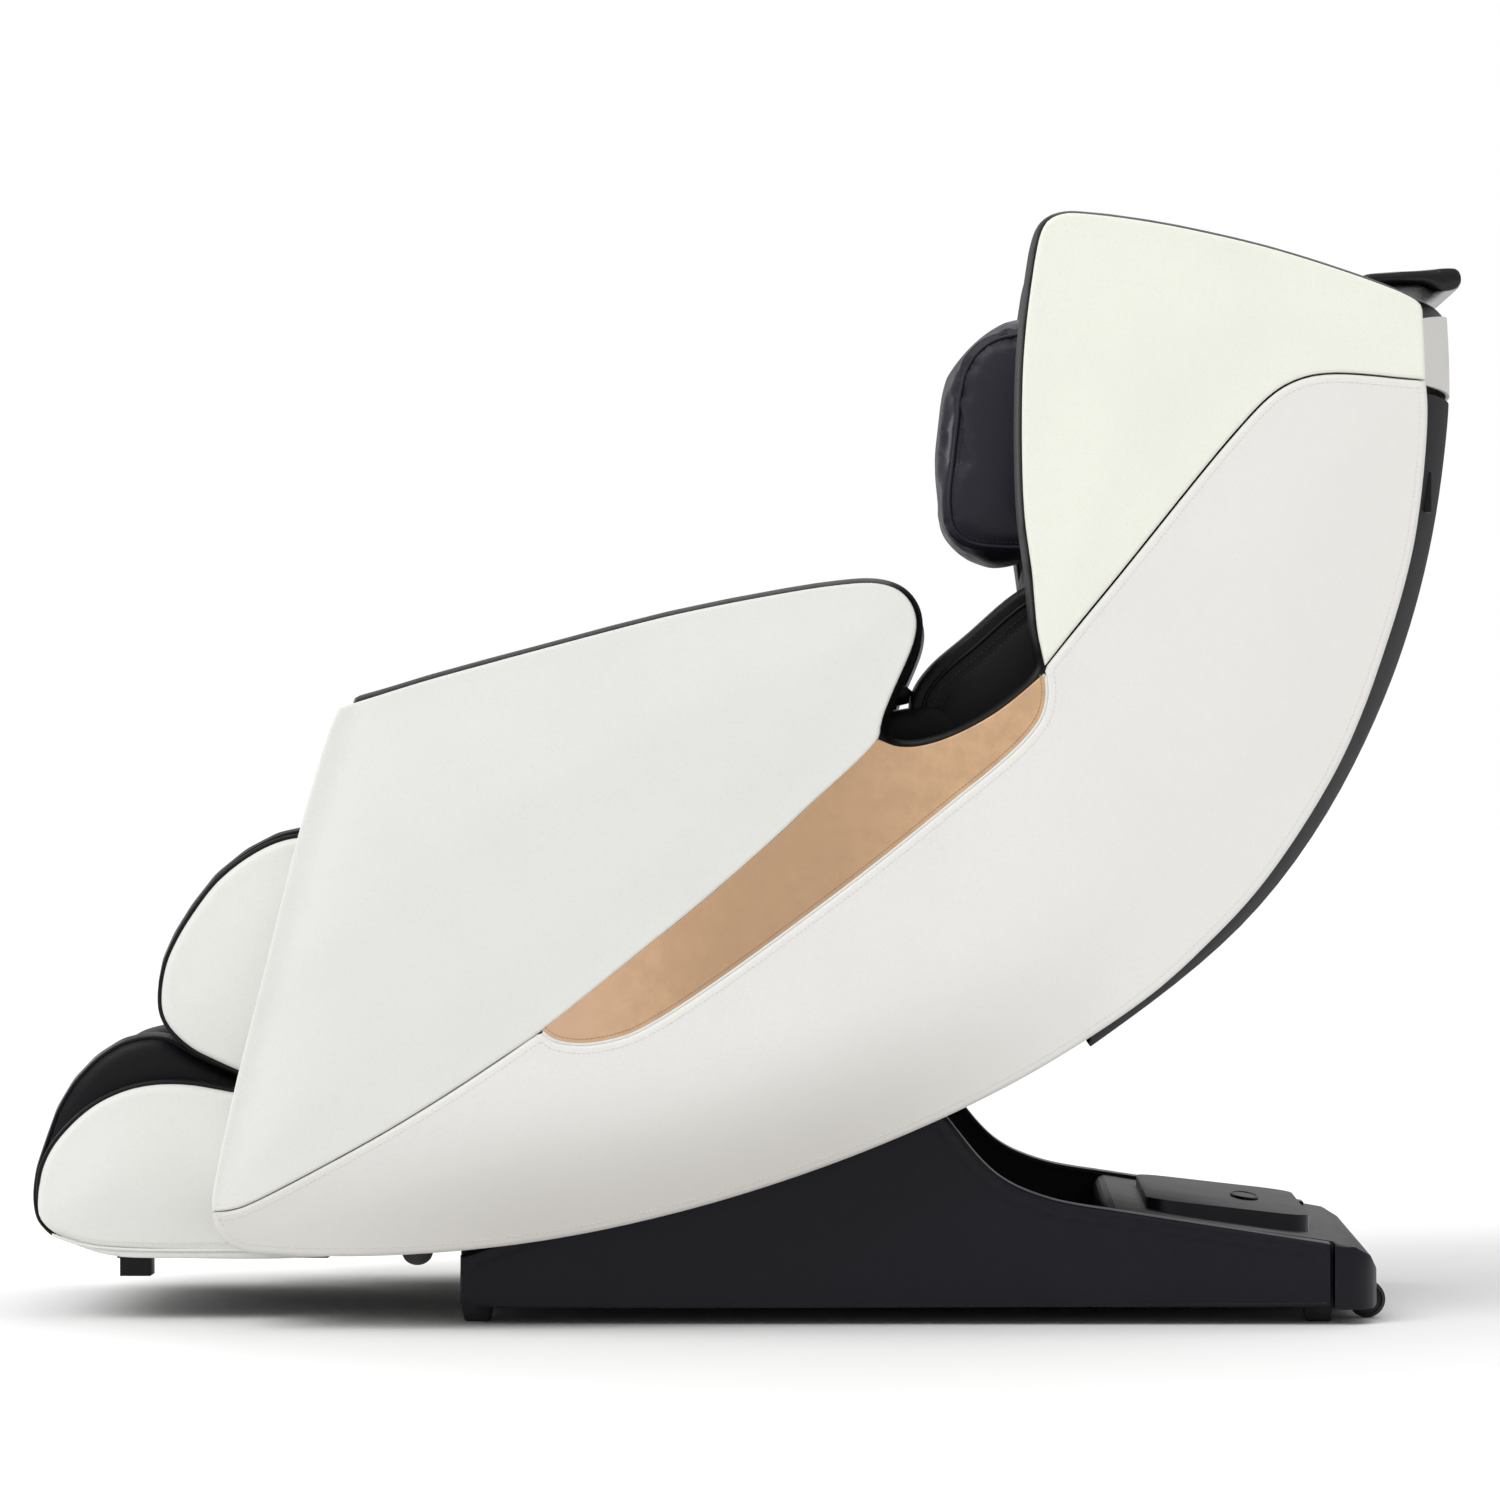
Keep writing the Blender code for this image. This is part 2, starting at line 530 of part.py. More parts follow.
def slotted_lever(name, pivot, radius, swing, x, reach, half_width, slot_half):
    """A lever with a radial slot for an actuator's pin. It stands half the swing behind straight down."""
    angle = swing / 2
    along = Vector((math.sin(angle), -math.cos(angle)))
    across = Vector((along.y, -along.x))
    pivot = Vector(pivot)
    slot_in, slot_out = radius * math.cos(angle) - slot_half - 0.002, radius + slot_half

    def strip(start, end, half):
        corners = [pivot + along * start - across * half, pivot + along * end - across * half,
                   pivot + along * end + across * half, pivot + along * start + across * half]
        return corners

    lever = plate(name, strip(0.0, reach, half_width), x - 0.008, x + 0.008, CUT, bevel=0.0)
    cut(lever, plate(f"{name}_slot", strip(slot_in, slot_out, slot_half), x - 0.02, x + 0.02, CUT))
    return lever


# ---- Seat body -------------------------------------------------------------------------------------------
SEAT_PLATE = [
    (-0.486, 0.486), (-0.478, 0.496), (-0.460, 0.500), (-0.440, 0.492), (-0.428, 0.470), (-0.380, 0.3855),
    (0.160, 0.3855), (0.225, 0.420), (0.325, 0.474), (0.380, 0.455), (0.362, 0.410), (0.250, 0.375),
    (0.180, 0.340), (0.045, 0.305), (0.020, 0.288), (-0.020, 0.288), (-0.120, 0.322), (-0.400, 0.340),
    (-0.430, 0.365), (-0.488, 0.458),
]
SCREW_X, SCREW_R = 0.135, 0.006
PAD_MIDDLE, PAD_SLOPE, PAD_X, PAD_DEPTH = Vector((-0.285, 0.7065)), math.radians(15), -0.308, 0.014
BUTTONS = ["button_power", "button_recline", "button_massage"]
BUTTON_R, BUTTON_TRAVEL = 0.0075, 0.0015
SEAT_PAN = ((-0.257, -0.345, 0.3745), (0.257, 0.165, 0.3860))
SEAT_PAD = [
    (-0.358, 0.3870), (-0.380, 0.415), (-0.391, 0.438), (-0.388, 0.458), (-0.370, 0.470), (-0.330, 0.474),
    (-0.200, 0.462), (-0.060, 0.448), (0.060, 0.444), (0.130, 0.452), (0.150, 0.440), (0.145, 0.405),
    (0.120, 0.3870), (-0.120, 0.3870), (-0.358, 0.3870),
]


def back_point(along, behind):
    """A point of the side view, measured up the back from its foot and straight behind the pad's front."""
    up = Vector((math.sin(BACK_LEAN), math.cos(BACK_LEAN)))
    rear = Vector((math.cos(BACK_LEAN), -math.sin(BACK_LEAN)))
    return BACK_FOOT + up * along + rear * behind


def seat_frame():
    """The seat's pan with a side plate at each end, which carry the tilt shaft, the knees and the back."""
    pan = box("seat_frame", *SEAT_PAN, STEEL)
    holes = [(TILT_Y, TILT_Z, SHAFT_R + RUNNING_GAP), (KNEE_Y, KNEE_Z, STUB_R + RUNNING_GAP)]
    for side in (1, -1):
        x0, x1 = sorted((side * PLATE_IN, side * PLATE_OUT))
        join(pan, plate("seat_side_plate", [Vector(p) for p in SEAT_PLATE], x0, x1, CUT, holes=holes))


def tilt_shaft():
    """The shaft that the body rocks on, with the lever that the tilt actuator pushes."""
    shaft = cylinder("tilt_shaft", (-0.2650, TILT_Y, TILT_Z), (0.2650, TILT_Y, TILT_Z), SHAFT_R, STEEL,
                     sides=32)
    join(shaft,
         slotted_lever("tilt_lever", (TILT_Y, TILT_Z), TILT_LEVER, TILT_SWING, TILT_ROD_X, 0.150, 0.020,
                              PIN_R + 0.0025))


def back_frame():
    """Two channels for the carriage's shoes, open towards the middle, welded to a bar at each end."""
    bars = []
    for low, high in ((-0.046, -0.0150), (0.5700, 0.600)):
        corners = [back_point(low, 0.129), back_point(high, 0.129), back_point(high, 0.167),
                   back_point(low, 0.167)]
        bars.append(plate("back_frame" if low < 0 else "upper_bar", corners, -0.2550, 0.2550, STEEL))
    frame = join(*bars)
    for side in (1, -1):
        corners = [back_point(-0.02, 0.128), back_point(0.575, 0.128), back_point(0.575, 0.168),
                   back_point(-0.02, 0.168)]
        x0, x1 = sorted((side * 0.186, side * 0.206))
        rail = plate("guide_rail", corners, x0, x1, CUT)
        groove = [back_point(-0.010, 0.136), back_point(0.565, 0.136), back_point(0.565, 0.160),
                  back_point(-0.010, 0.160)]
        g0, g1 = sorted((side * 0.180, side * 0.200))
        join(frame, cut(rail, plate("rail_groove", groove, g0, g1, CUT)))
    cylinder("drive_screw", (SCREW_X, *back_point(-0.0145, 0.148)), (SCREW_X, *back_point(0.5695, 0.148)),
             SCREW_R,
             STEEL, sides=16)


def control_parts():
    """A control pad let into the top of the right arm's lining, with three buttons along it."""
    pad = plate("control_pad", pad_outline(0.0455, PAD_DEPTH - GAP, 0.002), PAD_X - 0.0275, PAD_X + 0.0275,
                PLASTIC)
    add_bevel(pad, 0.0015)
    for k, name in enumerate(BUTTONS):
        y = -0.026 + 0.026 * k
        start, top, end = pad_point(y, -0.0080), pad_point(y, 0.0035), pad_point(y, 0.01)
        cut(pad, cylinder(f"{name}_well", (PAD_X, *start), (PAD_X, *end), BUTTON_R + RUNNING_GAP * 2, CUT))
        foot = pad_point(y, -0.0080 + BUTTON_TRAVEL + 0.0003)
        button = cylinder(name, (PAD_X, *foot), (PAD_X, *top), BUTTON_R, PLASTIC, sides=16)
        on_axis(button, *foot, PAD_X)


def pad_point(along, up):
    """A point of the side view, measured along the control pad and out of the arm's top from it."""
    run = Vector((math.cos(PAD_SLOPE), math.sin(PAD_SLOPE)))
    return PAD_MIDDLE + run * along + Vector((-run.y, run.x)) * up


def pad_outline(half, depth, height):
    return [pad_point(-half, -depth), pad_point(half, -depth), pad_point(half, height),
            pad_point(-half, height)]


def seat_parts():
    plate("seat_pad", smooth(SEAT_PAD, 1)[:-1], -0.262, 0.262, BLACK_LEATHER, bevel=0.012, segments=2)
    box("air_pump", (-0.215, -0.235, 0.262), (-0.060, -0.085, 0.3740), PLASTIC, bevel=0.004)
    actuator("legrest_actuator", KNEE_ROD_X, knee_rod_z(), KNEE_Y + KNEE_LEVER * math.sin(KNEE_SWING / 2),
             0.041,
             (-0.295, -0.030), 0.020, ((-0.018, -0.200, knee_rod_z() + 0.010), (0.018, -0.140, 0.3740)))


def knee_rod_z():
    return KNEE_Z - KNEE_LEVER * math.cos(KNEE_SWING / 2)


def tilt_rod_z():
    return TILT_Z - TILT_LEVER * math.cos(TILT_SWING / 2)


def side_panels(side, word):
    """The four upholstered panels of one side shell."""
    x0, x1 = sorted((side * SHELL_IN, side * HALF_WIDTH))
    arm = joined(smooth(ARM_TOP, 2), smooth(ACCENT_TOP, 2), smooth(SEAM_LINE, 2), smooth(FRONT_EDGE, 2))
    accent = joined(smooth(ACCENT_BOTTOM, 2), smooth(NOTCH, 2), smooth(ACCENT_TOP, 2))
    shoulder = joined(smooth(SHOULDER_FRONT, 2), smooth(SHOULDER_GAP[::-1], 2))
    crescent = joined(smooth(SHELL_REAR, 2), smooth(SEAM_LINE[::-1], 2), smooth(ACCENT_BOTTOM, 2),
                      [Vector((0.302, 0.693)), Vector((0.302, 0.699))], smooth(SHOULDER_GAP, 2))
    arm_panel = plate(f"arm_panel_{word}", inset(arm, SEAM), x0, x1, WHITE_LEATHER, bevel=0.006)
    plate(f"accent_panel_{word}", inset(accent, SEAM), x0, x1, GOLD_LEATHER, bevel=0.003)
    plate(f"shoulder_panel_{word}", inset(shoulder, 0.0015), x0, x1, WHITE_LEATHER, bevel=0.006)
    crescent_panel = plate(f"crescent_panel_{word}", inset(crescent, 0.0015), x0, x1, WHITE_LEATHER,
                           bevel=0.006)
    f0, f1 = sorted((side * (PLATE_OUT + 0.0065), side * (SHELL_IN + 0.006)))
    for piece, run in ((arm_panel, FRONT_EDGE[1:]), (crescent_panel, SHELL_REAR[-7:-1])):
        outer = smooth(run, 2)
        facing = facing_outline(outer, 0.004, 0.016)
        join(piece, plate("front_facing", facing, f0, f1, CUT))


def facing_outline(run, start, thick):
    """A strip along the inner side of an edge, from start to thick inside it."""
    middle = Vector((-0.20, 0.35))
    near, far = [], []
    for before, here, after in zip(run[:1] + run[:-1], run, run[1:] + run[-1:]):
        along = (after - before).normalized()
        normal = Vector((-along.y, along.x))
        if normal.dot(middle - here) < 0:
            normal = -normal
        near.append(here + normal * start)
        far.append(here + normal * thick)
    return near + far[::-1]


def side_lining(side, word):
    """The padded inner wall of one side: forearm rest, hip wall and shoulder wing in one flat solid."""
    edge = 0.0045
    outer = [*smooth(ARM_TOP, 2)[:-1], *smooth(NOTCH[::-1], 2)[:-1], *smooth(SHOULDER_FRONT[:-3], 2)]
    inner = smooth(LINING_INSIDE, 1)
    outline = [*outer, *inner]
    made = inset(outline, -edge)
    made[len(outer):] = inner
    made[0] = Vector((-0.430, 0.6655))
    x0, x1 = sorted((side * LINING_IN, side * LINING_OUT))
    lining = plate(f"side_lining_{word}", made, x0, x1, BLACK_LEATHER, bevel=0.006)
    if side < 0:
        cut(lining,
            plate("pad_room", pad_outline(0.046, PAD_DEPTH, 0.03), PAD_X - 0.028, PAD_X + 0.028, CUT))


def waist_wing(side, word):
    x0, x1 = sorted((side * 0.217, side * (LINING_IN - GAP)))
    plate(f"waist_wing_{word}", smooth(WAIST_WING, 1)[:-1], x0, x1, BLACK_LEATHER, bevel=0.012, segments=2)


def crowned_shell(name, edge, middle, half, wall, material, columns=12):
    """A surface with a wall, lofted between an edge line at each side and a crown line in the middle."""
    rows = len(edge)
    bm = bmesh.new()
    grid = []
    for e, m in zip(edge, middle):
        line = []
        for k in range(columns + 1):
            across = -1 + 2 * k / columns
            share = 1 - abs(across) ** 2.2
            at = Vector(e).lerp(Vector(m), share)
            line.append(bm.verts.new((across * half, at.x, at.y)))
        grid.append(line)
    for i in range(rows - 1):
        for k in range(columns):
            bm.faces.new((grid[i][k], grid[i + 1][k], grid[i + 1][k + 1], grid[i][k + 1]))
    bmesh.ops.recalc_face_normals(bm, faces=bm.faces)
    mesh = bpy.data.meshes.new(name)
    bm.to_mesh(mesh)
    bm.free()
    obj = bpy.data.objects.new(name, mesh)
    place(obj, material)
    solid = obj.modifiers.new("wall", "SOLIDIFY")
    solid.thickness = wall
    solid.offset = 1.0 if mesh.polygons[0].normal.y < 0 else -1.0
    return obj


def back_parts():
    """The rear shell, the white head trim over it and the black cap that closes the top."""
    half = SHELL_IN - GAP
    crowned_shell("back_cover", smooth(REAR_COVER_EDGE, 1), smooth(REAR_COVER_MIDDLE, 1), half, 0.004,
                  BASE_BLACK)
    trim_edge = [(0.698, 0.9985), (0.698, 1.030), (0.697, 1.066)]
    trim_middle = [(0.7540, 0.9985), (0.7540, 1.035), (0.7510, 1.0855)]
    crowned_shell("head_trim", trim_edge, trim_middle, half, 0.004, WHITE_LEATHER)
    cap_edge = [(0.6965, 1.0690), (0.695, 1.079), (0.686, 1.0870), (0.660, 1.0975)]
    cap_middle = [(0.7490, 1.0885), (0.7390, 1.100), (0.7200, 1.1075), (0.6900, 1.110)]
    crowned_shell("head_cap", cap_edge, cap_middle, LINING_IN - GAP, 0.004, PLASTIC)


def back_pad():
    """The long pad: up the back, over the top and a little way towards the rear."""
    front = [back_point(-0.045, -0.003), back_point(0.0, 0.0), back_point(0.30, 0.0), back_point(0.56, 0.0)]
    top = [Vector(p) for p in ((0.395, 1.116), (0.425, 1.130), (0.470, 1.132), (0.560, 1.122),
                               (0.640, 1.108),
                               (0.640, 1.080), (0.560, 1.092), (0.480, 1.100))]
    rear = [back_point(0.53, BACK_PAD_T), back_point(0.30, BACK_PAD_T), back_point(-0.035, BACK_PAD_T)]
    pad = plate("back_pad", [*front, *top, *rear], -0.2145, 0.2145, BLACK_LEATHER)
    wide = [back_point(0.325, 0.0), front[-1], *top, rear[0], back_point(0.325, BACK_PAD_T)]
    join(pad, plate("shoulder_part", wide, -0.2610, 0.2610, CUT))
    add_bevel(pad, 0.008)
    flap = [Vector(p) for p in ((0.6300, 1.1125), (0.6510, 1.1270), (0.6740, 1.1300), (0.7100, 1.1320),
                                (0.7520, 1.1350),
                                (REAR_END, 1.1300), (REAR_END, 1.1180), (0.7530, 1.1115), (0.7310, 1.1095),
                                (0.7180, 1.1155), (0.6800, 1.1160))]
    plate("rear_flap", flap, -0.170, 0.170, BLACK_LEATHER, bevel=0.004)
    lean = Vector((math.sin(BACK_LEAN), math.cos(BACK_LEAN)))
    rest = [back_point((z - BACK_FOOT.y) / lean.y, -GAP * 2) for z in (0.8255, 1.078)]
    pillow = [*smooth(PILLOW, 1)[1:-1], rest[0], rest[1]]
    plate("head_pillow", pillow, -0.150, 0.150, BLACK_LEATHER, bevel=0.014, segments=2)


# ---- Massage carriage ------------------------------------------------------------------------------------
ROLLER_PIN_R = 0.0045
ROLLER_PROFILE = [  # a squat ball, as (radius, x)
    (ROLLER_PIN_R + RUNNING_GAP, 0.0125), (0.020, 0.0125), (0.028, 0.009), (ROLLER_R, 0.0), (0.028, -0.009),
    (0.020, -0.0125), (ROLLER_PIN_R + RUNNING_GAP, -0.0125),
]


def carriage_parts():
    u = CARRIAGE_U
    corners = [back_point(u - 0.075, 0.140), back_point(u + 0.075, 0.140), back_point(u + 0.075, 0.156),
               back_point(u - 0.075, 0.156)]
    frame = plate("massage_carriage", corners, -0.196, 0.196, STEEL)
    motor = [back_point(u - 0.045, 0.150), back_point(u + 0.045, 0.150), back_point(u + 0.045, 0.225),
             back_point(u - 0.045, 0.225)]
    join(frame, plate("carriage_motor", motor, -0.055, 0.055, CUT))
    nut = [back_point(u - 0.020, 0.1385), back_point(u + 0.020, 0.1385), back_point(u + 0.020, 0.1645),
           back_point(u - 0.020, 0.1645)]
    join(frame, plate("drive_nut", nut, SCREW_X - 0.013, SCREW_X + 0.013, CUT))
    cut(frame,
        cylinder("screw_bore", (SCREW_X, *back_point(u - 0.1, 0.148)),
                 (SCREW_X, *back_point(u + 0.1, 0.148)),
                        SCREW_R + 0.0015, CUT, sides=16))
    for x in (-0.098, -0.052, 0.052, 0.098):
        lug = [back_point(u - 0.012, 0.118), back_point(u + 0.012, 0.118), back_point(u + 0.012, 0.145),
               back_point(u - 0.012, 0.145)]
        join(frame, plate("arm_lug", lug, x - 0.004, x + 0.004, CUT))
    pivot = back_point(u, 0.124)
    for side, word in ((1, "left"), (-1, "right")):
        x = side * 0.075
        tips = [back_point(u + way * 0.055, BACK_PAD_T + 0.007 + ROLLER_R) for way in (1, -1)]
        bend = back_point(u, 0.116)
        line = [tips[0], bend, tips[1]]
        arm = plate(f"kneading_arm_{word}", arm_outline(line, pivot), x - 0.006, x + 0.006, STEEL)
        join(arm, cylinder("arm_pivot", (x - 0.018, *pivot), (x + 0.018, *pivot), 0.005, CUT, sides=12))
        for tip, level in zip(tips, ("upper", "lower")):
            join(arm, cylinder("roller_pin", (x - 0.002, *tip), (x + side * 0.030, *tip), ROLLER_PIN_R, CUT))
            turned(f"massage_roller_{level}_{word}", (x + side * 0.020, *tip), ROLLER_PROFILE, PLASTIC)
        on_axis(arm, *pivot, x)
    return frame


def arm_outline(line, pivot):
    """A boomerang through the two roller pins and the pivot."""
    half = 0.009
    top, bend, low = line
    rear = (pivot - (top + low) / 2).normalized()
    up = (top - low).normalized()
    return [top - rear * half, top + up * half, top + rear * half + up * half * 0.4,
            pivot + rear * half * 0.4 + up * half,
            pivot + rear * half * 0.4 - up * half, low + rear * half - up * half * 0.4, low - up * half,
            low - rear * half, bend - rear * half * 1.4]


def turned(name, at, profile, material, turns=20):
    """A ring turned about a line along X through the given point, from its (radius, x) profile."""
    bm = bmesh.new()
    rings = []
    for a in full_turn(turns):
        rings.append([bm.verts.new((w, r * math.cos(a), r * math.sin(a))) for r, w in profile])
    for ring, after in zip(rings, rings[1:] + rings[:1]):
        for k in range(len(profile)):
            j = (k + 1) % len(profile)
            bm.faces.new((ring[k], after[k], after[j], ring[j]))
    bmesh.ops.recalc_face_normals(bm, faces=bm.faces)
    mesh = bpy.data.meshes.new(name)
    bm.to_mesh(mesh)
    bm.free()
    obj = bpy.data.objects.new(name, mesh)
    obj.location = at
    return place(obj, material)


# ---- Legrest and foot unit -------------------------------------------------------------------------------
def calf_point(along, behind):
    """A point of the side view, measured from the knee down the calf and straight behind it."""
    down = Vector((-math.sin(CALF_LEAN), -math.cos(CALF_LEAN)))
    rear = Vector((math.cos(CALF_LEAN), -math.sin(CALF_LEAN)))
    return Vector((KNEE_Y, KNEE_Z)) + down * along + rear * behind


def calf_frame():
    """The legrest's steel back plate with its knee ears, pivot stubs, rod bores and the slotted lever."""
    outline = [calf_point(0.035, 0.0500), calf_point(0.225, 0.0500), calf_point(0.225, 0.0800),
               calf_point(0.035, 0.0800)]
    frame = plate("calf_frame", outline, -0.2270, 0.2270, STEEL)
    outline = [calf_point(-0.016, -0.016), calf_point(0.016, -0.018), calf_point(0.085, 0.052),
               calf_point(0.085, 0.072),
               calf_point(0.040, 0.072), calf_point(-0.016, 0.016)]
    ear = plate("knee_ear", outline, 0.2155, 0.2260, CUT)
    join(ear,
         cylinder("knee_stub", (0.2200, KNEE_Y, KNEE_Z), (0.2637, KNEE_Y, KNEE_Z), STUB_R, CUT, sides=32))
    ear.modifiers.new("other side", "MIRROR").merge_threshold = MERGE
    join(frame, ear)
    groove = [calf_point(0.045, 0.066), calf_point(0.120, 0.066), calf_point(0.120, 0.090),
              calf_point(0.045, 0.090)]
    cut(frame, plate("rod_groove", groove, -0.0225, 0.0225, CUT))
    lever = slotted_lever("knee_lever", (KNEE_Y, KNEE_Z), KNEE_LEVER, KNEE_SWING, KNEE_ROD_X, 0.175, 0.022,
                          PIN_R + 0.006)
    front = [calf_point(-0.03, -0.05), calf_point(0.25, -0.05), calf_point(0.25, 0.052),
             calf_point(-0.03, 0.052)]
    cut(lever, plate("lever_room", front, -0.03, 0.03, CUT))
    join(frame, lever)
    for x in (-0.12, 0.12):
        start, end = calf_point(0.05, 0.068), calf_point(0.24, 0.068)
        cut(frame, cylinder("rod_bore", (x, *start), (x, *end), SLIDE_ROD_R + RUNNING_GAP, CUT))


def leg_troughs(piece, floor, x_in, x_out, name):
    """Cuts the two leg channels, round-bottomed, in front of the floor line."""
    for side in (1, -1):
        x0, x1 = sorted((side * x_in, side * x_out))
        trough = plate(f"{name}_{'left' if side > 0 else 'right'}", floor, x0, x1, CUT)
        cut(piece, trough)


def calf_parts():
    outline = smooth(CALF_FRONT, 1)[:-1]
    pad_low = [calf_point(0.160, -0.145), calf_point(0.200, 0.000), calf_point(0.205, 0.0490)]
    pad = plate("calf_pad", calf_pad_outline(outline, pad_low), -CALF_PAD_HALF, CALF_PAD_HALF, BLACK_LEATHER)
    floor = [calf_point(-0.10, 0.004), calf_point(0.012, 0.004), calf_point(0.250, 0.004),
             calf_point(0.250, -0.30),
             calf_point(-0.10, -0.30)]
    leg_troughs(pad, floor, 0.030, 0.178, "calf_trough")
    add_bevel(pad, 0.004)

    def panel(side, word):
        x0, x1 = sorted((side * LEG_PANEL_IN, side * LEG_HALF))
        plate(f"calf_panel_{word}", outline, x0, x1, WHITE_LEATHER, bevel=0.006,
              holes=[(KNEE_Y, KNEE_Z, STUB_R + RUNNING_GAP)])

    both_sides(panel)


def calf_pad_outline(panel, low):
    """The pad stands a little proud of the panels in front, and stops above the foot unit."""
    front = [p for p in inset(panel, -0.005) if p.x < -0.470 and p.y > 0.335]
    return [*front, *low, calf_point(-0.02, 0.0490), calf_point(-0.045, 0.022)]


def foot_parts():
    """The foot unit: sole plate, heel plate and slide rods in one frame, the boots' pad and two panels."""
    frame = box("foot_frame", (-0.226, -0.735, 0.066), (0.226, -0.466, 0.0745), PLASTIC)
    join(frame, box("heel_plate", (-0.226, -0.4760, 0.068), (0.226, -0.4620, 0.195), CUT))
    for x in (-0.12, 0.12):
        start, end = calf_point(0.100, 0.068), calf_point(0.325, 0.068)
        join(frame, cylinder("slide_rod", (x, *start), (x, *end), SLIDE_ROD_R, CUT))
    for x in (-0.19, 0.19):
        join(frame, box("toe_bumper", (x - 0.018, -0.692, 0.045), (x + 0.018, -0.659, 0.070), CUT))
    pad = plate("foot_pad", smooth(FOOT_PAD, 1)[:-1], -CALF_PAD_HALF, CALF_PAD_HALF, BLACK_LEATHER,
                bevel=0.006)
    well = [Vector(p) for p in ((-0.755, 0.115), (-0.752, 0.105), (-0.515, 0.105), (-0.505, 0.115),
                                (-0.505, 0.42),
                                (-0.755, 0.42))]
    leg_troughs(pad, well, 0.040, 0.168, "foot_well")

    def panel(side, word):
        x0, x1 = sorted((side * LEG_PANEL_IN, side * LEG_HALF))
        plate(f"foot_panel_{word}", smooth(FOOT_PANEL, 1)[:-1], x0, x1, WHITE_LEATHER, bevel=0.006)

    both_sides(panel)


# ---- The whole chair -------------------------------------------------------------------------------------
clear_scene()
CHAIR = make_collection("massage_chair")
CUTTERS = make_collection("cutters")
WHITE_LEATHER = make_material("white_leather", (0.84, 0.83, 0.79), 0.5)
GOLD_LEATHER = make_material("champagne_leather", (0.62, 0.43, 0.27), 0.42, 0.25)
BLACK_LEATHER = make_material("black_leather", (0.020, 0.020, 0.024), 0.42)
BASE_BLACK = make_material("base_plastic", (0.022, 0.021, 0.026), 0.45)
PLASTIC = make_material("black_plastic", (0.012, 0.012, 0.013), 0.5)
RUBBER = make_material("rubber", (0.015, 0.015, 0.015), 0.8)
STEEL = make_material("painted_steel", (0.06, 0.06, 0.065), 0.5, 0.4)
CUT = make_material("cut", (0.5, 0.5, 0.5), 0.5)


def main():
    base_frame()
    both_sides(base_side_cover)
    base_rear_cover()
    for word, side in (("left", 1), ("right", -1)):
        rubber_foot(f"foot_front_{word}", side * FOOT_X, FOOT_FRONT_Y)
        rubber_foot(f"foot_rear_{word}", side * FOOT_X, FOOT_REAR_Y)
    both_sides(transport_wheel)
    power_parts()
    actuator("tilt_actuator", TILT_ROD_X, tilt_rod_z(), TILT_Y + TILT_LEVER * math.sin(TILT_SWING / 2),
             0.027,
             (-0.072, -0.285), 0.070, ((TILT_ROD_X - 0.02, -0.280, CHASSIS_Z + CHASSIS_T + GAP),
                                       (TILT_ROD_X + 0.02, -0.235, tilt_rod_z() - 0.010)))
    seat_frame()
    tilt_shaft()
    back_frame()
    seat_parts()
    both_sides(side_panels)
    both_sides(side_lining)
    control_parts()
    both_sides(waist_wing)
    back_parts()
    back_pad()
    carriage_parts()
    calf_frame()
    calf_parts()
    foot_parts()
    for obj in [*CHAIR.objects, *CUTTERS.objects]:
        obj.location.y += CENTRING


main()
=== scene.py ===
"""The looks of a full-body massage chair: upholstery, shells, trim, controls and the studio round it.

Nearly every piece takes its outline and its place from the chair's solid that it stands for. The few outlines and
places that the solids don't give are the named lists and numbers above the functions that use them. Lengths are
metres, +Z is up, the chair faces -Y and its left side is at +X. Side-view outlines are lists of (y, z) points.
"""

import json
import math

import bmesh
import bpy
import numpy as np
from bpy.props import FloatProperty, FloatVectorProperty, IntProperty, PointerProperty
from mathutils import Matrix, Vector, geometry, kdtree
from mathutils.bvhtree import BVHTree


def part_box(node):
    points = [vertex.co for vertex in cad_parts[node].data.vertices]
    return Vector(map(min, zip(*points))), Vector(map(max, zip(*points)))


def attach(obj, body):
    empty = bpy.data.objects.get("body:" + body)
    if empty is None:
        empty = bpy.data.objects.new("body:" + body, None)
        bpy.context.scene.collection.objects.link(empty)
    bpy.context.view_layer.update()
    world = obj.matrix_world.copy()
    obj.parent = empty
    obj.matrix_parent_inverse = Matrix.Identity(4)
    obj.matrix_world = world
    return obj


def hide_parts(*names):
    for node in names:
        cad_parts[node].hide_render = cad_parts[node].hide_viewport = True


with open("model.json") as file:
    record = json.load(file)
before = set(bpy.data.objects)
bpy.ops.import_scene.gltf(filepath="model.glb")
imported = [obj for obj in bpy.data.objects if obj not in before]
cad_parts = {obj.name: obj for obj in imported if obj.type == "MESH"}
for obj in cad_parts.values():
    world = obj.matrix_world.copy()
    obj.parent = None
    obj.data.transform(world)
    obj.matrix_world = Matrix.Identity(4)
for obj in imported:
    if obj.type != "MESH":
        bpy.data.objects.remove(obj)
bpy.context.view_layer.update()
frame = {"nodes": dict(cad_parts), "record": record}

bl_info = {
    "name": "Massage chair looks",
    "version": (1, 0, 0),
    "blender": (4, 5, 0),
    "location": "View3D > Sidebar > Massage chair",
    "description": "Upholstery, shells and a studio for a full-body massage chair",
    "category": "Object",
}

BODY_OF = {node: body for body, nodes in frame["record"]["behaviour"]["bodies"].items() for node in nodes}
SIDES = (("left", 1), ("right", -1))


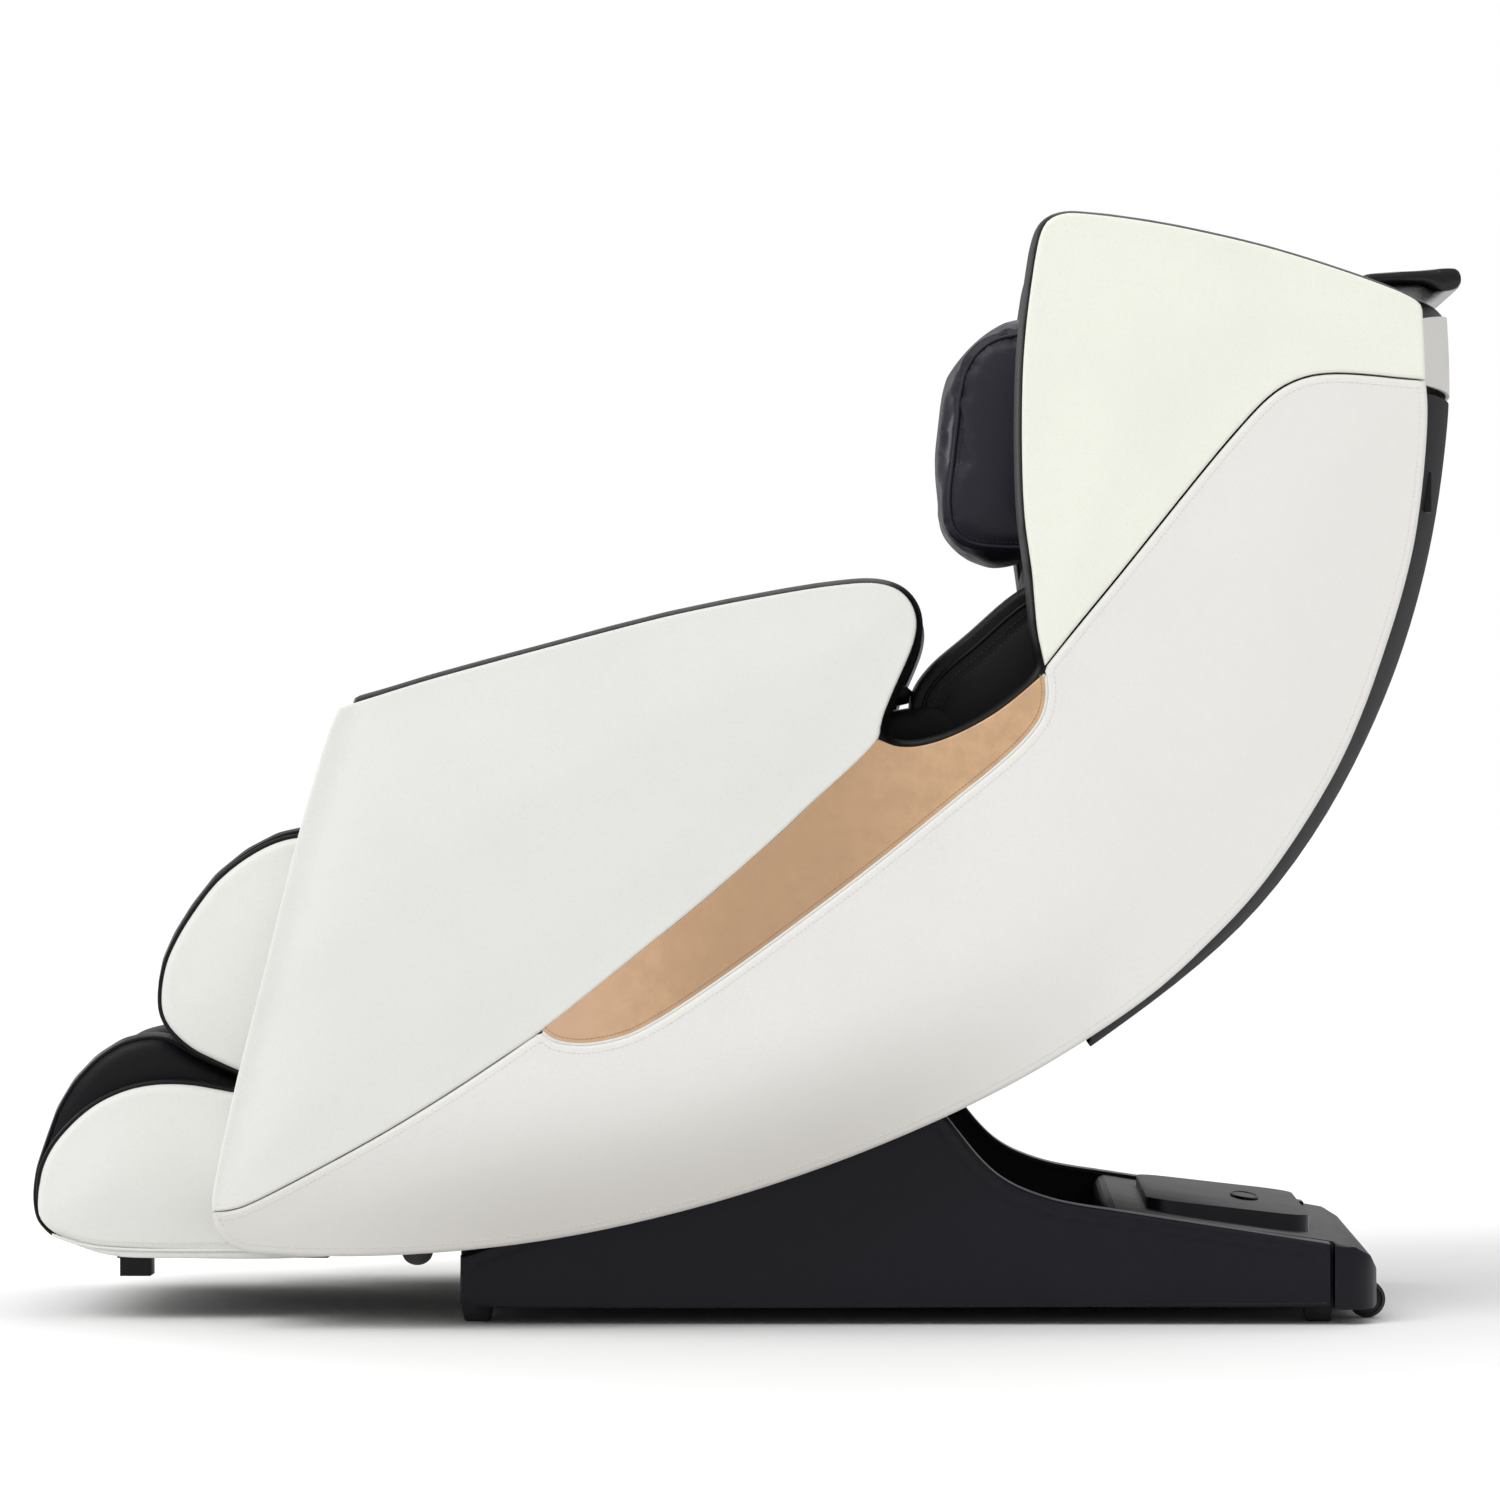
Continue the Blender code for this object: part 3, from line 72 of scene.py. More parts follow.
# ---- Settings -----------------------------------------------------------------------------------------------
class ChairColours(bpy.types.PropertyGroup):
    """The colours of the chair's coverings, as linear values."""

    ivory: FloatVectorProperty(name="Ivory leather", description="Arm, calf and foot panels, and the sole",
                               subtype="COLOR", default=(0.740, 0.743, 0.710))
    cream: FloatVectorProperty(name="Cream leather", description="Shoulder panels",
                               subtype="COLOR", default=(0.818, 0.828, 0.742))
    pearl: FloatVectorProperty(name="Pearl leather", description="The long crescent panel of each side",
                               subtype="COLOR", default=(0.768, 0.758, 0.730))
    champagne: FloatVectorProperty(name="Champagne leather", description="The accent between arm and crescent",
                                   subtype="COLOR", default=(0.56, 0.355, 0.205))
    black: FloatVectorProperty(name="Black leather", description="Seat, back, linings and legrest pads",
                               subtype="COLOR", default=(0.0052, 0.0050, 0.0064))
    charcoal: FloatVectorProperty(name="Charcoal plastic", description="The base's moulded covers",
                                  subtype="COLOR", default=(0.0062, 0.0058, 0.0100))


class ChairSizes(bpy.types.PropertyGroup):
    """The sizes of the upholstery's details."""

    grain: FloatProperty(name="Leather grain", description="Width of one pebble of the grain",
                         unit="LENGTH", default=0.0022)
    panel_crown: FloatProperty(name="Panel crown", description="How far the foam lifts a side panel's middle",
                               unit="LENGTH", default=0.0045)
    mesh_step: FloatProperty(name="Panel mesh", description="Distance between a panel's points",
                             unit="LENGTH", default=0.010)
    stitch_spacing: FloatProperty(name="Stitch spacing", description="From one stitch to the next",
                                  unit="LENGTH", default=0.0052)
    stitch_length: FloatProperty(name="Stitch length", description="Length of one stitch",
                                 unit="LENGTH", default=0.0038)
    stitch_thickness: FloatProperty(name="Thread", description="Thickness of the sewing thread",
                                    unit="LENGTH", default=0.0009)
    piping: FloatProperty(name="Piping", description="Radius of the piping round the pads",
                          unit="LENGTH", default=0.0022)
    pressure: FloatProperty(name="Stuffing pressure", description="Pressure of the stuffing as the pads settle",
                            default=4.0)
    settle_frames: IntProperty(name="Settling frames", description="Frames that the stuffing takes to settle",
                               default=20)


class ChairStudio(bpy.types.PropertyGroup):
    """The camera and the light."""

    camera_place: FloatVectorProperty(name="Camera", description="Where the camera stands", unit="LENGTH",
                                      default=(6.88, 0.2059, 0.612))
    focal_length: FloatProperty(name="Focal length", description="In millimetres on a 36 mm sensor",
                                default=148.57)
    sideways_shift: FloatProperty(name="Shift", description="Sideways shift of the frame", default=-0.12667)
    floor_colour: FloatVectorProperty(name="Floor", description="Colour of the studio's floor", subtype="COLOR",
                                      default=(0.90, 0.90, 0.90))
    sky_strength: FloatProperty(name="Sky", description="Strength of the light from all round", default=0.80)


# ---- Shaders ------------------------------------------------------------------------------------------------
class Number:
    """A number in a material's node tree. Arithmetic on it adds Math nodes."""

    def __init__(self, tree, output):
        self.tree, self.output = tree, output

    def math(self, operation, *values):
        node = self.tree.nodes.new("ShaderNodeMath")
        node.operation = operation
        for socket, value in zip(node.inputs, values):
            connect(self.tree, socket, value)
        return Number(self.tree, node.outputs[0])

    def __add__(self, other):
        return self.math("ADD", self, other)

    def __radd__(self, other):
        return self.math("ADD", other, self)

    def __sub__(self, other):
        return self.math("SUBTRACT", self, other)

    def __rsub__(self, other):
        return self.math("SUBTRACT", other, self)

    def __mul__(self, other):
        return self.math("MULTIPLY", self, other)

    def __rmul__(self, other):
        return self.math("MULTIPLY", other, self)

    def __truediv__(self, other):
        return self.math("DIVIDE", self, other)

    def __rtruediv__(self, other):
        return self.math("DIVIDE", other, self)

    def ramp(self, low, high):
        """0 below low, 1 above high, and smooth between them."""
        share = (self - low) / (high - low)
        share = self.math("MINIMUM", self.math("MAXIMUM", share, 0.0), 1.0)
        return share * share * (3.0 - 2.0 * share)


def connect(tree, socket, value):
    if isinstance(value, Number):
        tree.links.new(value.output, socket)
    elif isinstance(value, bpy.types.NodeSocket):
        tree.links.new(value, socket)
    elif socket.type == "RGBA" and len(value) == 3:
        socket.default_value = (*value, 1.0)
    else:
        socket.default_value = value


def add_node(tree, kind, settings=None, **values):
    """Adds a node: its settings first, then the values or links of its sockets."""
    made = tree.nodes.new(kind)
    for key, value in (settings or {}).items():
        setattr(made, key, value)
    for key, value in values.items():
        connect(tree, made.inputs[key.replace("_", " ")], value)
    return made


class Finish:
    """A material under construction."""

    def __init__(self, name):
        self.material = bpy.data.materials.new(name)
        self.material.use_nodes = True
        self.tree = self.material.node_tree
        self.shader = self.tree.nodes["Principled BSDF"]
        self.place = self.node("ShaderNodeTexCoord").outputs["Object"]

    def node(self, kind, settings=None, **values):
        return add_node(self.tree, kind, settings, **values)

    def noise(self, size, detail=2.0, rough=0.5):
        made = self.node("ShaderNodeTexNoise", Vector=self.place, Scale=1.0 / size, Detail=detail, Roughness=rough)
        return Number(self.tree, made.outputs[0])

    def pebbles(self, size):
        made = self.node("ShaderNodeTexVoronoi", Vector=self.place, Scale=1.0 / size)
        return Number(self.tree, made.outputs["Distance"])

    def along(self, axis):
        parts = self.node("ShaderNodeSeparateXYZ", Vector=self.place)
        return Number(self.tree, parts.outputs[axis])

    def mixed(self, first, second, share):
        made = self.node("ShaderNodeMix", {"data_type": "RGBA"})
        connect(self.tree, made.inputs[0], share)
        connect(self.tree, made.inputs[6], first)
        connect(self.tree, made.inputs[7], second)
        return made.outputs[2]

    def bump(self, height, distance):
        made = self.node("ShaderNodeBump", Strength=1.0, Distance=distance, Height=height)
        connect(self.tree, self.shader.inputs["Normal"], made.outputs[0])

    def set(self, **values):
        for key, value in values.items():
            connect(self.tree, self.shader.inputs[key.replace("_", " ")], value)


def shade(colour, *factors):
    """The colour times one factor, or times one for each channel."""
    return tuple(min(1.0, c * f) for c, f in zip(colour, factors * 3 if len(factors) == 1 else factors))


def colours():
    return bpy.context.scene.chair_colours


def leather(name, colour, roughness, depth=0.00010, gloss=0.30):
    """Split leather: a pebbled grain that stands depth high, slight colour drift and shinier high spots."""
    grain = bpy.context.scene.chair_sizes.grain
    made = Finish(name)
    cells = made.pebbles(grain)
    fine = made.noise(grain * 0.35, 3.0)
    drift = made.noise(0.16, 2.0)
    patch = made.noise(0.035, 3.0)
    height = (1.0 - cells) * 0.75 + fine * 0.35 + patch * 0.25
    base = made.mixed(shade(colour, 1.01), shade(colour, 0.90), drift.ramp(0.38, 0.72) * 0.18)
    base = made.mixed(base, shade(colour, 0.86), cells.ramp(0.45, 0.95) * 0.22)
    made.set(Base_Color=base, Roughness=roughness + (cells - 0.4) * 0.10 + (patch - 0.5) * 0.08)
    made.set(Specular_IOR_Level=gloss)
    made.bump(height, depth)
    return made


def ivory_leather():
    return leather("ivory_leather", colours().ivory, 0.50).material


def cream_leather():
    return leather("cream_leather", colours().cream, 0.50).material


def pearl_leather():
    """A little greyer than ivory, warmer towards the rear, and duller towards its rolled-under lower edge."""
    colour = colours().pearl
    made = leather("pearl_leather", colour, 0.52)
    warm, dull = shade(colour, 0.985, 0.962, 0.955), shade(colour, 0.715, 0.70, 0.685)
    y, z = made.along("Y"), made.along("Z")
    base = made.shader.inputs["Base Color"].links[0].from_socket
    base = made.mixed(base, warm, y.ramp(0.20, 0.75) * 0.5)
    cubic, square, slope, level = hem_curve()
    above = z - (((y * cubic + square) * y + slope) * y + level)
    fades_in, fades_out = 0.55 + y.ramp(-0.50, -0.20) * 0.45, 1.0 - y.ramp(0.06, 0.46)
    made.set(Base_Color=made.mixed(base, dull, (1.0 - above.ramp(0.0, 0.185)) * fades_in * fades_out))
    return made.material


def trim_leather():
    return leather("trim_leather", shade(colours().pearl, 0.86), 0.55).material


def champagne_leather():
    """Brushed nap with a metallic coat: short fibres catch the light in patches, most of all at the front end."""
    colour = colours().champagne
    made = Finish("champagne_leather")
    nap = made.noise(0.0016, 4.0, 0.7)
    cloud = made.noise(0.022, 5.0, 0.62)
    wide = made.noise(0.14, 2.0)
    base = made.mixed(shade(colour, 1.16), shade(colour, 0.86), cloud.ramp(0.30, 0.70) * 0.65)
    base = made.mixed(base, shade(colour, 1.25), nap.ramp(0.52, 0.75) * 0.40)
    base = made.mixed(base, shade(colour, 0.90), wide.ramp(0.4, 0.7) * 0.4)
    y = made.along("Y")
    base = made.mixed(base, shade(colour, 0.80), y.ramp(-0.16, 0.0) * (1.0 - y.ramp(0.08, 0.24)) * 0.75)
    base = made.mixed(base, shade(colour, 1.10, 1.14, 1.27), 1.0 - y.ramp(-0.22, -0.06))
    made.set(Base_Color=base, Roughness=0.46 + (cloud - 0.5) * 0.20 + (nap - 0.5) * 0.12)
    made.set(Metallic=0.30, Sheen_Weight=0.25, Sheen_Roughness=0.4)
    made.bump(nap * 0.7 + cloud * 0.6, 0.00022)
    return made.material


def black_leather():
    return leather("black_leather", colours().black, 0.44, 0.00016, 0.17).material


def pillow_leather():
    """The pillow's softer hide, a shade lighter than the pads."""
    return leather("pillow_leather", shade(colours().black, 4.4, 4.3, 5.0), 0.42, 0.00014, 0.22).material


def glossy_leather():
    """The coated leather of the flap, smoother than the pads."""
    return leather("glossy_black_leather", colours().black, 0.22, 0.00007, 0.35).material


def plastic(name, colour, roughness, spark=0.00003, gloss=0.20):
    """Moulded plastic with a fine spark-eroded texture and faint handling marks."""
    made = Finish(name)
    fine = made.noise(0.0011, 3.0, 0.6)
    rub = made.noise(0.07, 4.0, 0.6)
    made.set(Base_Color=made.mixed(shade(colour, 0.94), shade(colour, 1.10), rub.ramp(0.35, 0.7)))
    made.set(Roughness=roughness + (fine - 0.5) * 0.10 + (rub - 0.5) * 0.12, Specular_IOR_Level=gloss)
    made.bump(fine, spark)
    return made.material


def charcoal_plastic():
    return plastic("charcoal_plastic", colours().charcoal, 0.36)


def slate_plastic():
    """The base's top cover is moulded in a lighter, more matt grade."""
    return plastic("slate_plastic", (0.020, 0.019, 0.0215), 0.46)


def rear_shell_plastic():
    return plastic("rear_shell_plastic", (0.0100, 0.0095, 0.0125), 0.62, 0.00005, 0.06)


def black_plastic():
    return plastic("black_plastic", (0.006, 0.006, 0.0065), 0.42)


def key_plastic():
    return plastic("key_plastic", (0.32, 0.32, 0.33), 0.35)


def rubber():
    made = Finish("rubber")
    fine = made.noise(0.0014, 4.0, 0.7)
    dust = made.noise(0.018, 3.0)
    made.set(Base_Color=made.mixed((0.014, 0.014, 0.014), (0.030, 0.029, 0.028), dust.ramp(0.45, 0.75)))
    made.set(Roughness=0.72 + (fine - 0.5) * 0.2)
    made.bump(fine, 0.00008)
    return made.material


def powder_coat():
    """Black powder coat on steel, with its orange-peel skin."""
    made = Finish("powder_coated_steel")
    peel = made.noise(0.0024, 2.0)
    scuff = made.noise(0.05, 5.0, 0.7)
    made.set(Base_Color=made.mixed((0.022, 0.022, 0.024), (0.040, 0.040, 0.042), scuff.ramp(0.5, 0.7)))
    made.set(Roughness=0.45 + (scuff - 0.5) * 0.2, Metallic=0.35)
    made.bump(peel, 0.00006)
    return made.material


def bright_steel():
    """Ground and oiled steel for the rods, screw and shaft."""
    made = Finish("ground_steel")
    marks = made.noise(0.0008, 3.0, 0.7)
    wide = made.noise(0.03, 3.0)
    made.set(Base_Color=made.mixed((0.50, 0.50, 0.51), (0.38, 0.38, 0.39), wide), Metallic=1.0)
    made.set(Roughness=0.26 + marks * 0.14)
    made.bump(marks, 0.00002)
    return made.material


def thread(name, colour):
    made = Finish(name)
    twist = made.noise(0.0006, 2.0)
    made.set(Base_Color=made.mixed(colour, shade(colour, 0.75), twist), Roughness=0.65 + (twist - 0.5) * 0.2)
    made.bump(twist, 0.0001)
    return made.material


def ivory_thread():
    return thread("ivory_thread", (0.78, 0.77, 0.70))


def tan_thread():
    return thread("tan_thread", (0.42, 0.27, 0.16))


def black_thread():
    return thread("black_thread", (0.030, 0.030, 0.033))


FINISHES = {}


def finish(maker):
    """Each material is made once."""
    if maker.__name__ not in FINISHES:
        FINISHES[maker.__name__] = maker()
    return FINISHES[maker.__name__]


# ---- Outlines taken from the chair's solids -----------------------------------------------------------------
def welded(node):
    """A CAD node's mesh, with its loose triangles joined."""
    bm = bmesh.new()
    bm.from_mesh(frame["nodes"][node].data)
    bmesh.ops.remove_doubles(bm, verts=bm.verts, dist=2e-5)
    return bm


def sections(node, x):
    """The closed outlines, as (y, z), where the plane at x cuts a node, longest first."""
    bm = welded(node)
    parts = [*bm.verts, *bm.edges, *bm.faces]
    made = bmesh.ops.bisect_plane(bm, geom=parts, dist=1e-6, plane_co=(x, 0, 0), plane_no=(1, 0, 0))
    links = {}
    for edge in made["geom_cut"]:
        if isinstance(edge, bmesh.types.BMEdge):
            a, b = edge.verts
            links.setdefault(a, []).append(b)
            links.setdefault(b, []).append(a)
    loops = []
    while links:
        here = next(iter(links))
        loop = []
        while here is not None:
            loop.append(Vector((here.co.y, here.co.z)))
            beside = links.pop(here)
            here = next((v for v in beside if v in links), None)
        if len(loop) > 2:
            loops.append(turned_left(straightened(loop)))
    bm.free()
    return sorted(loops, key=path_length, reverse=True)


def straightened(loop, least=math.radians(0.4)):
    """Without the points that lie on a straight stretch."""
    return [b for a, b, c in neighbours(loop) if (b - a).length > 1e-5 and turn_at(a, b, c) > least]


def neighbours(loop):
    return zip(loop[-1:] + loop[:-1], loop, loop[1:] + loop[:1])


def turn_at(a, b, c):
    before, after = b - a, c - b
    if before.length < 1e-9 or after.length < 1e-9:
        return 0.0
    return before.angle(after)


def area_of(loop):
    return sum(a.x * b.y - b.x * a.y for a, b in zip(loop, loop[1:] + loop[:1])) / 2


def turned_left(loop):
    return loop if area_of(loop) > 0 else loop[::-1]


def path_length(path):
    return sum((b - a).length for a, b in zip(path, path[1:]))


CURVE_STEPS = 6  # points from one given point of a curve to the next


def curve_through(points):
    """A Catmull-Rom curve through the points."""
    p = [2 * points[0] - points[1], *points, 2 * points[-1] - points[-2]]
    made = []
    for a, b, c, d in zip(p, p[1:], p[2:], p[3:]):
        t1 = math.sqrt((b - a).length)
        t2 = t1 + math.sqrt((c - b).length)
        t3 = t2 + math.sqrt((d - c).length)
        for k in range(CURVE_STEPS):
            t = t1 + (t2 - t1) * k / CURVE_STEPS
            ab, bc, cd = a.lerp(b, t / t1), b.lerp(c, (t - t1) / (t2 - t1)), c.lerp(d, (t - t2) / (t3 - t2))
            abc, bcd = ab.lerp(bc, t / t2), bc.lerp(cd, (t - t1) / (t3 - t1))
            made.append(abc.lerp(bcd, (t - t1) / (t2 - t1)))
    return [*made, points[-1]]


def evenly(path, step):
    """The same path with points an even distance apart, ends included."""
    total = path_length(path)
    count = max(2, round(total / step))
    made, walked, k = [path[0]], 0.0, 0
    for n in range(1, count):
        target = total * n / count
        while walked + (path[k + 1] - path[k]).length < target:
            walked += (path[k + 1] - path[k]).length
            k += 1
        made.append(path[k].lerp(path[k + 1], (target - walked) / (path[k + 1] - path[k]).length))
    return [*made, path[-1]]


def runs_of(loop, corner=40):
    """The smooth runs between a loop's corners, or the whole loop as one run if it has none."""
    corners = [i for i, (a, b, c) in enumerate(neighbours(loop)) if turn_at(a, b, c) > math.radians(corner)]
    if not corners:
        wrapped = curve_through(loop[-2:] + loop + loop[:3])
        return [wrapped[2 * CURVE_STEPS:-2 * CURVE_STEPS]]
    made = []
    for start, end in zip(corners, corners[1:] + [corners[0] + len(loop)]):
        made.append(curve_through([loop[i % len(loop)] for i in range(start, end + 1)]))
    return made


def flowing(loop, step, corner=40):
    """A closed outline resampled evenly, smooth between its corners."""
    points = []
    for run in runs_of(loop, corner):
        points += evenly(run, step)[:-1]
    return points


def inset(loop, amount):
    """A closed outline moved inwards by amount, with mitred corners."""
    made = []
    for a, b, c in neighbours(loop):
        d1, d2 = (b - a).normalized(), (c - b).normalized()
        n1, n2 = Vector((-d1.y, d1.x)), Vector((-d2.y, d2.x))
        middle = (n1 + n2).normalized()
        made.append(b + middle * amount / max(0.5, middle.dot(n1)))
    return made


def distances(points, path, closed=True):
    """How far each point is from a path, in one array."""
    if not len(points):
        return np.zeros(0)
    p = np.array([tuple(v) for v in points])
    a = np.array([tuple(v) for v in path])
    b = np.roll(a, -1, axis=0)
    if not closed:
        a, b = a[:-1], b[:-1]
    best = np.full(len(p), 1e9)
    for start, end in zip(a, b):
        along = end - start
        share = np.clip((p - start) @ along / max(along @ along, 1e-18), 0, 1)
        best = np.minimum(best, np.linalg.norm(p - start - share[:, None] * along, axis=1))
    return best


def within(points, loop):
    """Whether each point is inside a closed outline."""
    p = np.array([tuple(v) for v in points])
    found = np.zeros(len(p), bool)
    for a, b in zip(loop, loop[1:] + loop[:1]):
        if a.y != b.y:
            crosses = (a.y > p[:, 1]) != (b.y > p[:, 1])
            found ^= crosses & (p[:, 0] < (b.x - a.x) * (p[:, 1] - a.y) / (b.y - a.y) + a.x)
    return found


# ---- Making pieces ------------------------------------------------------------------------------------------
def new_object(name, mesh):
    obj = bpy.data.objects.new(name, mesh)
    bpy.context.scene.collection.objects.link(obj)
    return obj


def from_bmesh(name, bm, material, sharp=40):
    mesh = bpy.data.meshes.new(name)
    bm.to_mesh(mesh)
    bm.free()
    mesh.shade_smooth()
    mesh.set_sharp_from_angle(angle=math.radians(sharp))
    mesh.materials.append(material)
    return new_object(name, mesh)


def applied(obj):
    """The object's evaluated shape as its own mesh, with no modifiers left."""
    bpy.context.view_layer.update()
    graph = bpy.context.evaluated_depsgraph_get()
    mesh = bpy.data.meshes.new_from_object(obj.evaluated_get(graph), depsgraph=graph)
    name, materials = obj.name, list(obj.data.materials)
    bpy.data.objects.remove(obj, do_unlink=True)
    made = new_object(name, mesh)
    if not mesh.materials:
        for material in materials:
            mesh.materials.append(material)
    return made


def give(obj, node, stands_for=True):
    """The piece rides with the node's body, and may stand for the node."""
    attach(obj, BODY_OF[node])
    if stands_for:
        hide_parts(node)
    return obj


RING_SHARES = (0.06, 0.22, 0.48, 0.80, 1.25, 1.9)  # depths of a panel's edge rings, as shares of its edge radius
ROW_RISE = 0.866  # from row to row of a field of equal triangles, as a share of their side


class Panel:
    """A leather panel in the side view: a wrapped edge round a crowned face."""

    def __init__(self, loop, face, back, edge, crown, reach, shape=None):
        self.loop, self.face, self.back = loop, face, back
        self.edge, self.crown, self.reach, self.shape = edge, crown, reach, shape
        self.way = 1 if face > back else -1

    def height(self, points, depth=None):
        """The face's x at points of the side view, which are depth inside the edge."""
        d = distances(points, self.loop) if depth is None else np.asarray(depth, float)
        inner = np.clip(self.edge - d, 0, self.edge)
        drop = self.edge - np.sqrt(np.maximum(self.edge ** 2 - inner ** 2, 0))
        rise = self.crown * (1 - np.exp(-((d / self.reach) ** 2)))
        x = rise - drop
        if self.shape is not None:
            x = x + self.shape(np.array([tuple(v) for v in points]), d)
        return self.face + self.way * x

    def points(self, step):
        """Rings near the edge, where it curves, and an even field inside."""
        rings = [(self.loop, np.zeros(len(self.loop)))]
        for share in RING_SHARES:
            depth = self.edge * share
            ring = inset(self.loop, depth)
            d = distances(ring, self.loop)
            keep = (d > depth * 0.85) & within(ring, self.loop)  # drops what crosses itself in a corner
            rings.append(([p for p, k in zip(ring, keep) if k], d[keep]))
        low = Vector((min(p.x for p in self.loop), min(p.y for p in self.loop)))
        high = Vector((max(p.x for p in self.loop), max(p.y for p in self.loop)))
        field, rise = [], step * ROW_RISE
        for row in range(int((high.y - low.y) / rise) + 1):
            offset = step / 2 if row % 2 else 0.0
            for column in range(int((high.x - low.x) / step) + 1):
                field.append(Vector((low.x + column * step + offset, low.y + row * rise)))
        d = distances(field, self.loop)
        keep = within(field, self.loop) & (d > self.edge * RING_SHARES[-1] + step * 0.45)
        rings.append(([p for p, k in zip(field, keep) if k], d[keep]))
        return rings

    def build(self, name, material, step=None, wall=None):
        step = step or bpy.context.scene.chair_sizes.mesh_step
        rings = self.points(step)
        flat = [p for ring, _ in rings for p in ring]
        depth = np.concatenate([d for _, d in rings])
        count = len(self.loop)
        border = [(i, (i + 1) % count) for i in range(count)]
        verts, _, faces, source, _, _ = geometry.delaunay_2d_cdt(flat, border, [], 1, 1e-7)
        depths = [depth[s[0]] if s else 0.0 for s in source]
        x = self.height(verts, depths)
        bm = bmesh.new()
        front = [bm.verts.new((x[i], v.x, v.y)) for i, v in enumerate(verts)]
        for face in faces:
            bm.faces.new([front[i] for i in face])
        place = {s: i for i, found in enumerate(source) for s in found}
        rim = [front[place[i]] for i in range(count)]
        outer = [bm.verts.new((self.back, p.x, p.y)) for p in self.loop]
        bridge(bm, rim, outer)
        if wall:
            inner_loop = inset(self.loop, wall)
            lip = [bm.verts.new((self.back, p.x, p.y)) for p in inner_loop]
            floor = [bm.verts.new((self.face - self.way * (self.edge + wall), p.x, p.y)) for p in inner_loop]
            bridge(bm, outer, lip)
            bridge(bm, lip, floor)
            bm.faces.new(floor)
        else:
            bm.faces.new(outer)
        for vert in [v for v in bm.verts if not v.link_faces]:
            bm.verts.remove(vert)
        bmesh.ops.recalc_face_normals(bm, faces=bm.faces)
        return from_bmesh(name, bm, material)

    def seam_path(self, run, depth, step=0.006, lift=0.0):
        """A run of the edge as 3-D points on the face, depth inside the edge."""
        moved = []
        line = evenly(run, step)
        for a, b, c in zip(line[:1] + line[:-1], line, line[1:] + line[-1:]):
            d = (c - a).normalized()
            moved.append(b + Vector((-d.y, d.x)) * depth)
        x = self.height(moved)
        return [Vector((x[i] + self.way * lift, p.x, p.y)) for i, p in enumerate(moved)]


def bridge(bm, first, second):
    count = len(first)
    for i in range(count):
        j = (i + 1) % count
        bm.faces.new((first[i], first[j], second[j], second[i]))


def tube(name, path, radius, material, closed=False):
    """A round cord along 3-D points: piping, a bead or a rod."""
    curve = bpy.data.curves.new(name, "CURVE")
    curve.dimensions = "3D"
    curve.bevel_depth = radius
    curve.bevel_resolution = 2
    curve.use_fill_caps = not closed
    spline = curve.splines.new("POLY")
    spline.points.add(len(path) - 1)
    for point, at in zip(spline.points, path):
        point.co = (*at, 1)
    spline.use_cyclic_u = closed
    curve.materials.append(material)
    made = applied(new_object(name, curve))
    bm = bmesh.new()
    bm.from_mesh(made.data)
    bmesh.ops.remove_doubles(bm, verts=bm.verts, dist=1e-6)
    bmesh.ops.recalc_face_normals(bm, faces=bm.faces)
    bm.to_mesh(made.data)
    bm.free()
    made.data.shade_smooth()
    return made


def joined_pieces(name, pieces):
    """Several meshes as one piece."""
    bm = bmesh.new()
    materials = []
    for piece in pieces:
        mesh = piece.data
        offset = len(bm.faces)
        first = len(materials)
        materials += list(mesh.materials)
        bm.from_mesh(mesh)
        bm.faces.ensure_lookup_table()
        for face in bm.faces[offset:]:
            face.material_index += first
        bpy.data.objects.remove(piece, do_unlink=True)
    mesh = bpy.data.meshes.new(name)
    bm.to_mesh(mesh)
    bm.free()
    for material in materials:
        mesh.materials.append(material)
    return new_object(name, mesh)


def rounded_block(name, low, high, material, radius):
    """A moulded block between two corners."""
    bm = bmesh.new()
    low, high = Vector(low), Vector(high)
    bmesh.ops.create_cube(bm, size=1.0, matrix=Matrix.LocRotScale((low + high) / 2, None, high - low))
    bmesh.ops.bevel(bm, geom=bm.edges[:], offset=radius, segments=3, profile=0.5, affect="EDGES")
    return from_bmesh(name, bm, material)


def turned(name, at, profile, material, turns=48):
    """A closed ring or button turned about a line along X through at, from its (radius, x) profile."""
    bm = bmesh.new()
    rings = []
    for k in range(turns):
        a = 2 * math.pi * k / turns
        rings.append([bm.verts.new((at[0] + w, at[1] + r * math.cos(a), at[2] + r * math.sin(a)))
                      for r, w in profile])
    for ring, after in zip(rings, rings[1:] + rings[:1]):
        for k in range(len(profile)):
            j = (k + 1) % len(profile)
            bm.faces.new((ring[k], after[k], after[j], ring[j]))
    bmesh.ops.remove_doubles(bm, verts=bm.verts, dist=1e-6)
    bmesh.ops.recalc_face_normals(bm, faces=bm.faces)
    return from_bmesh(name, bm, material, sharp=35)


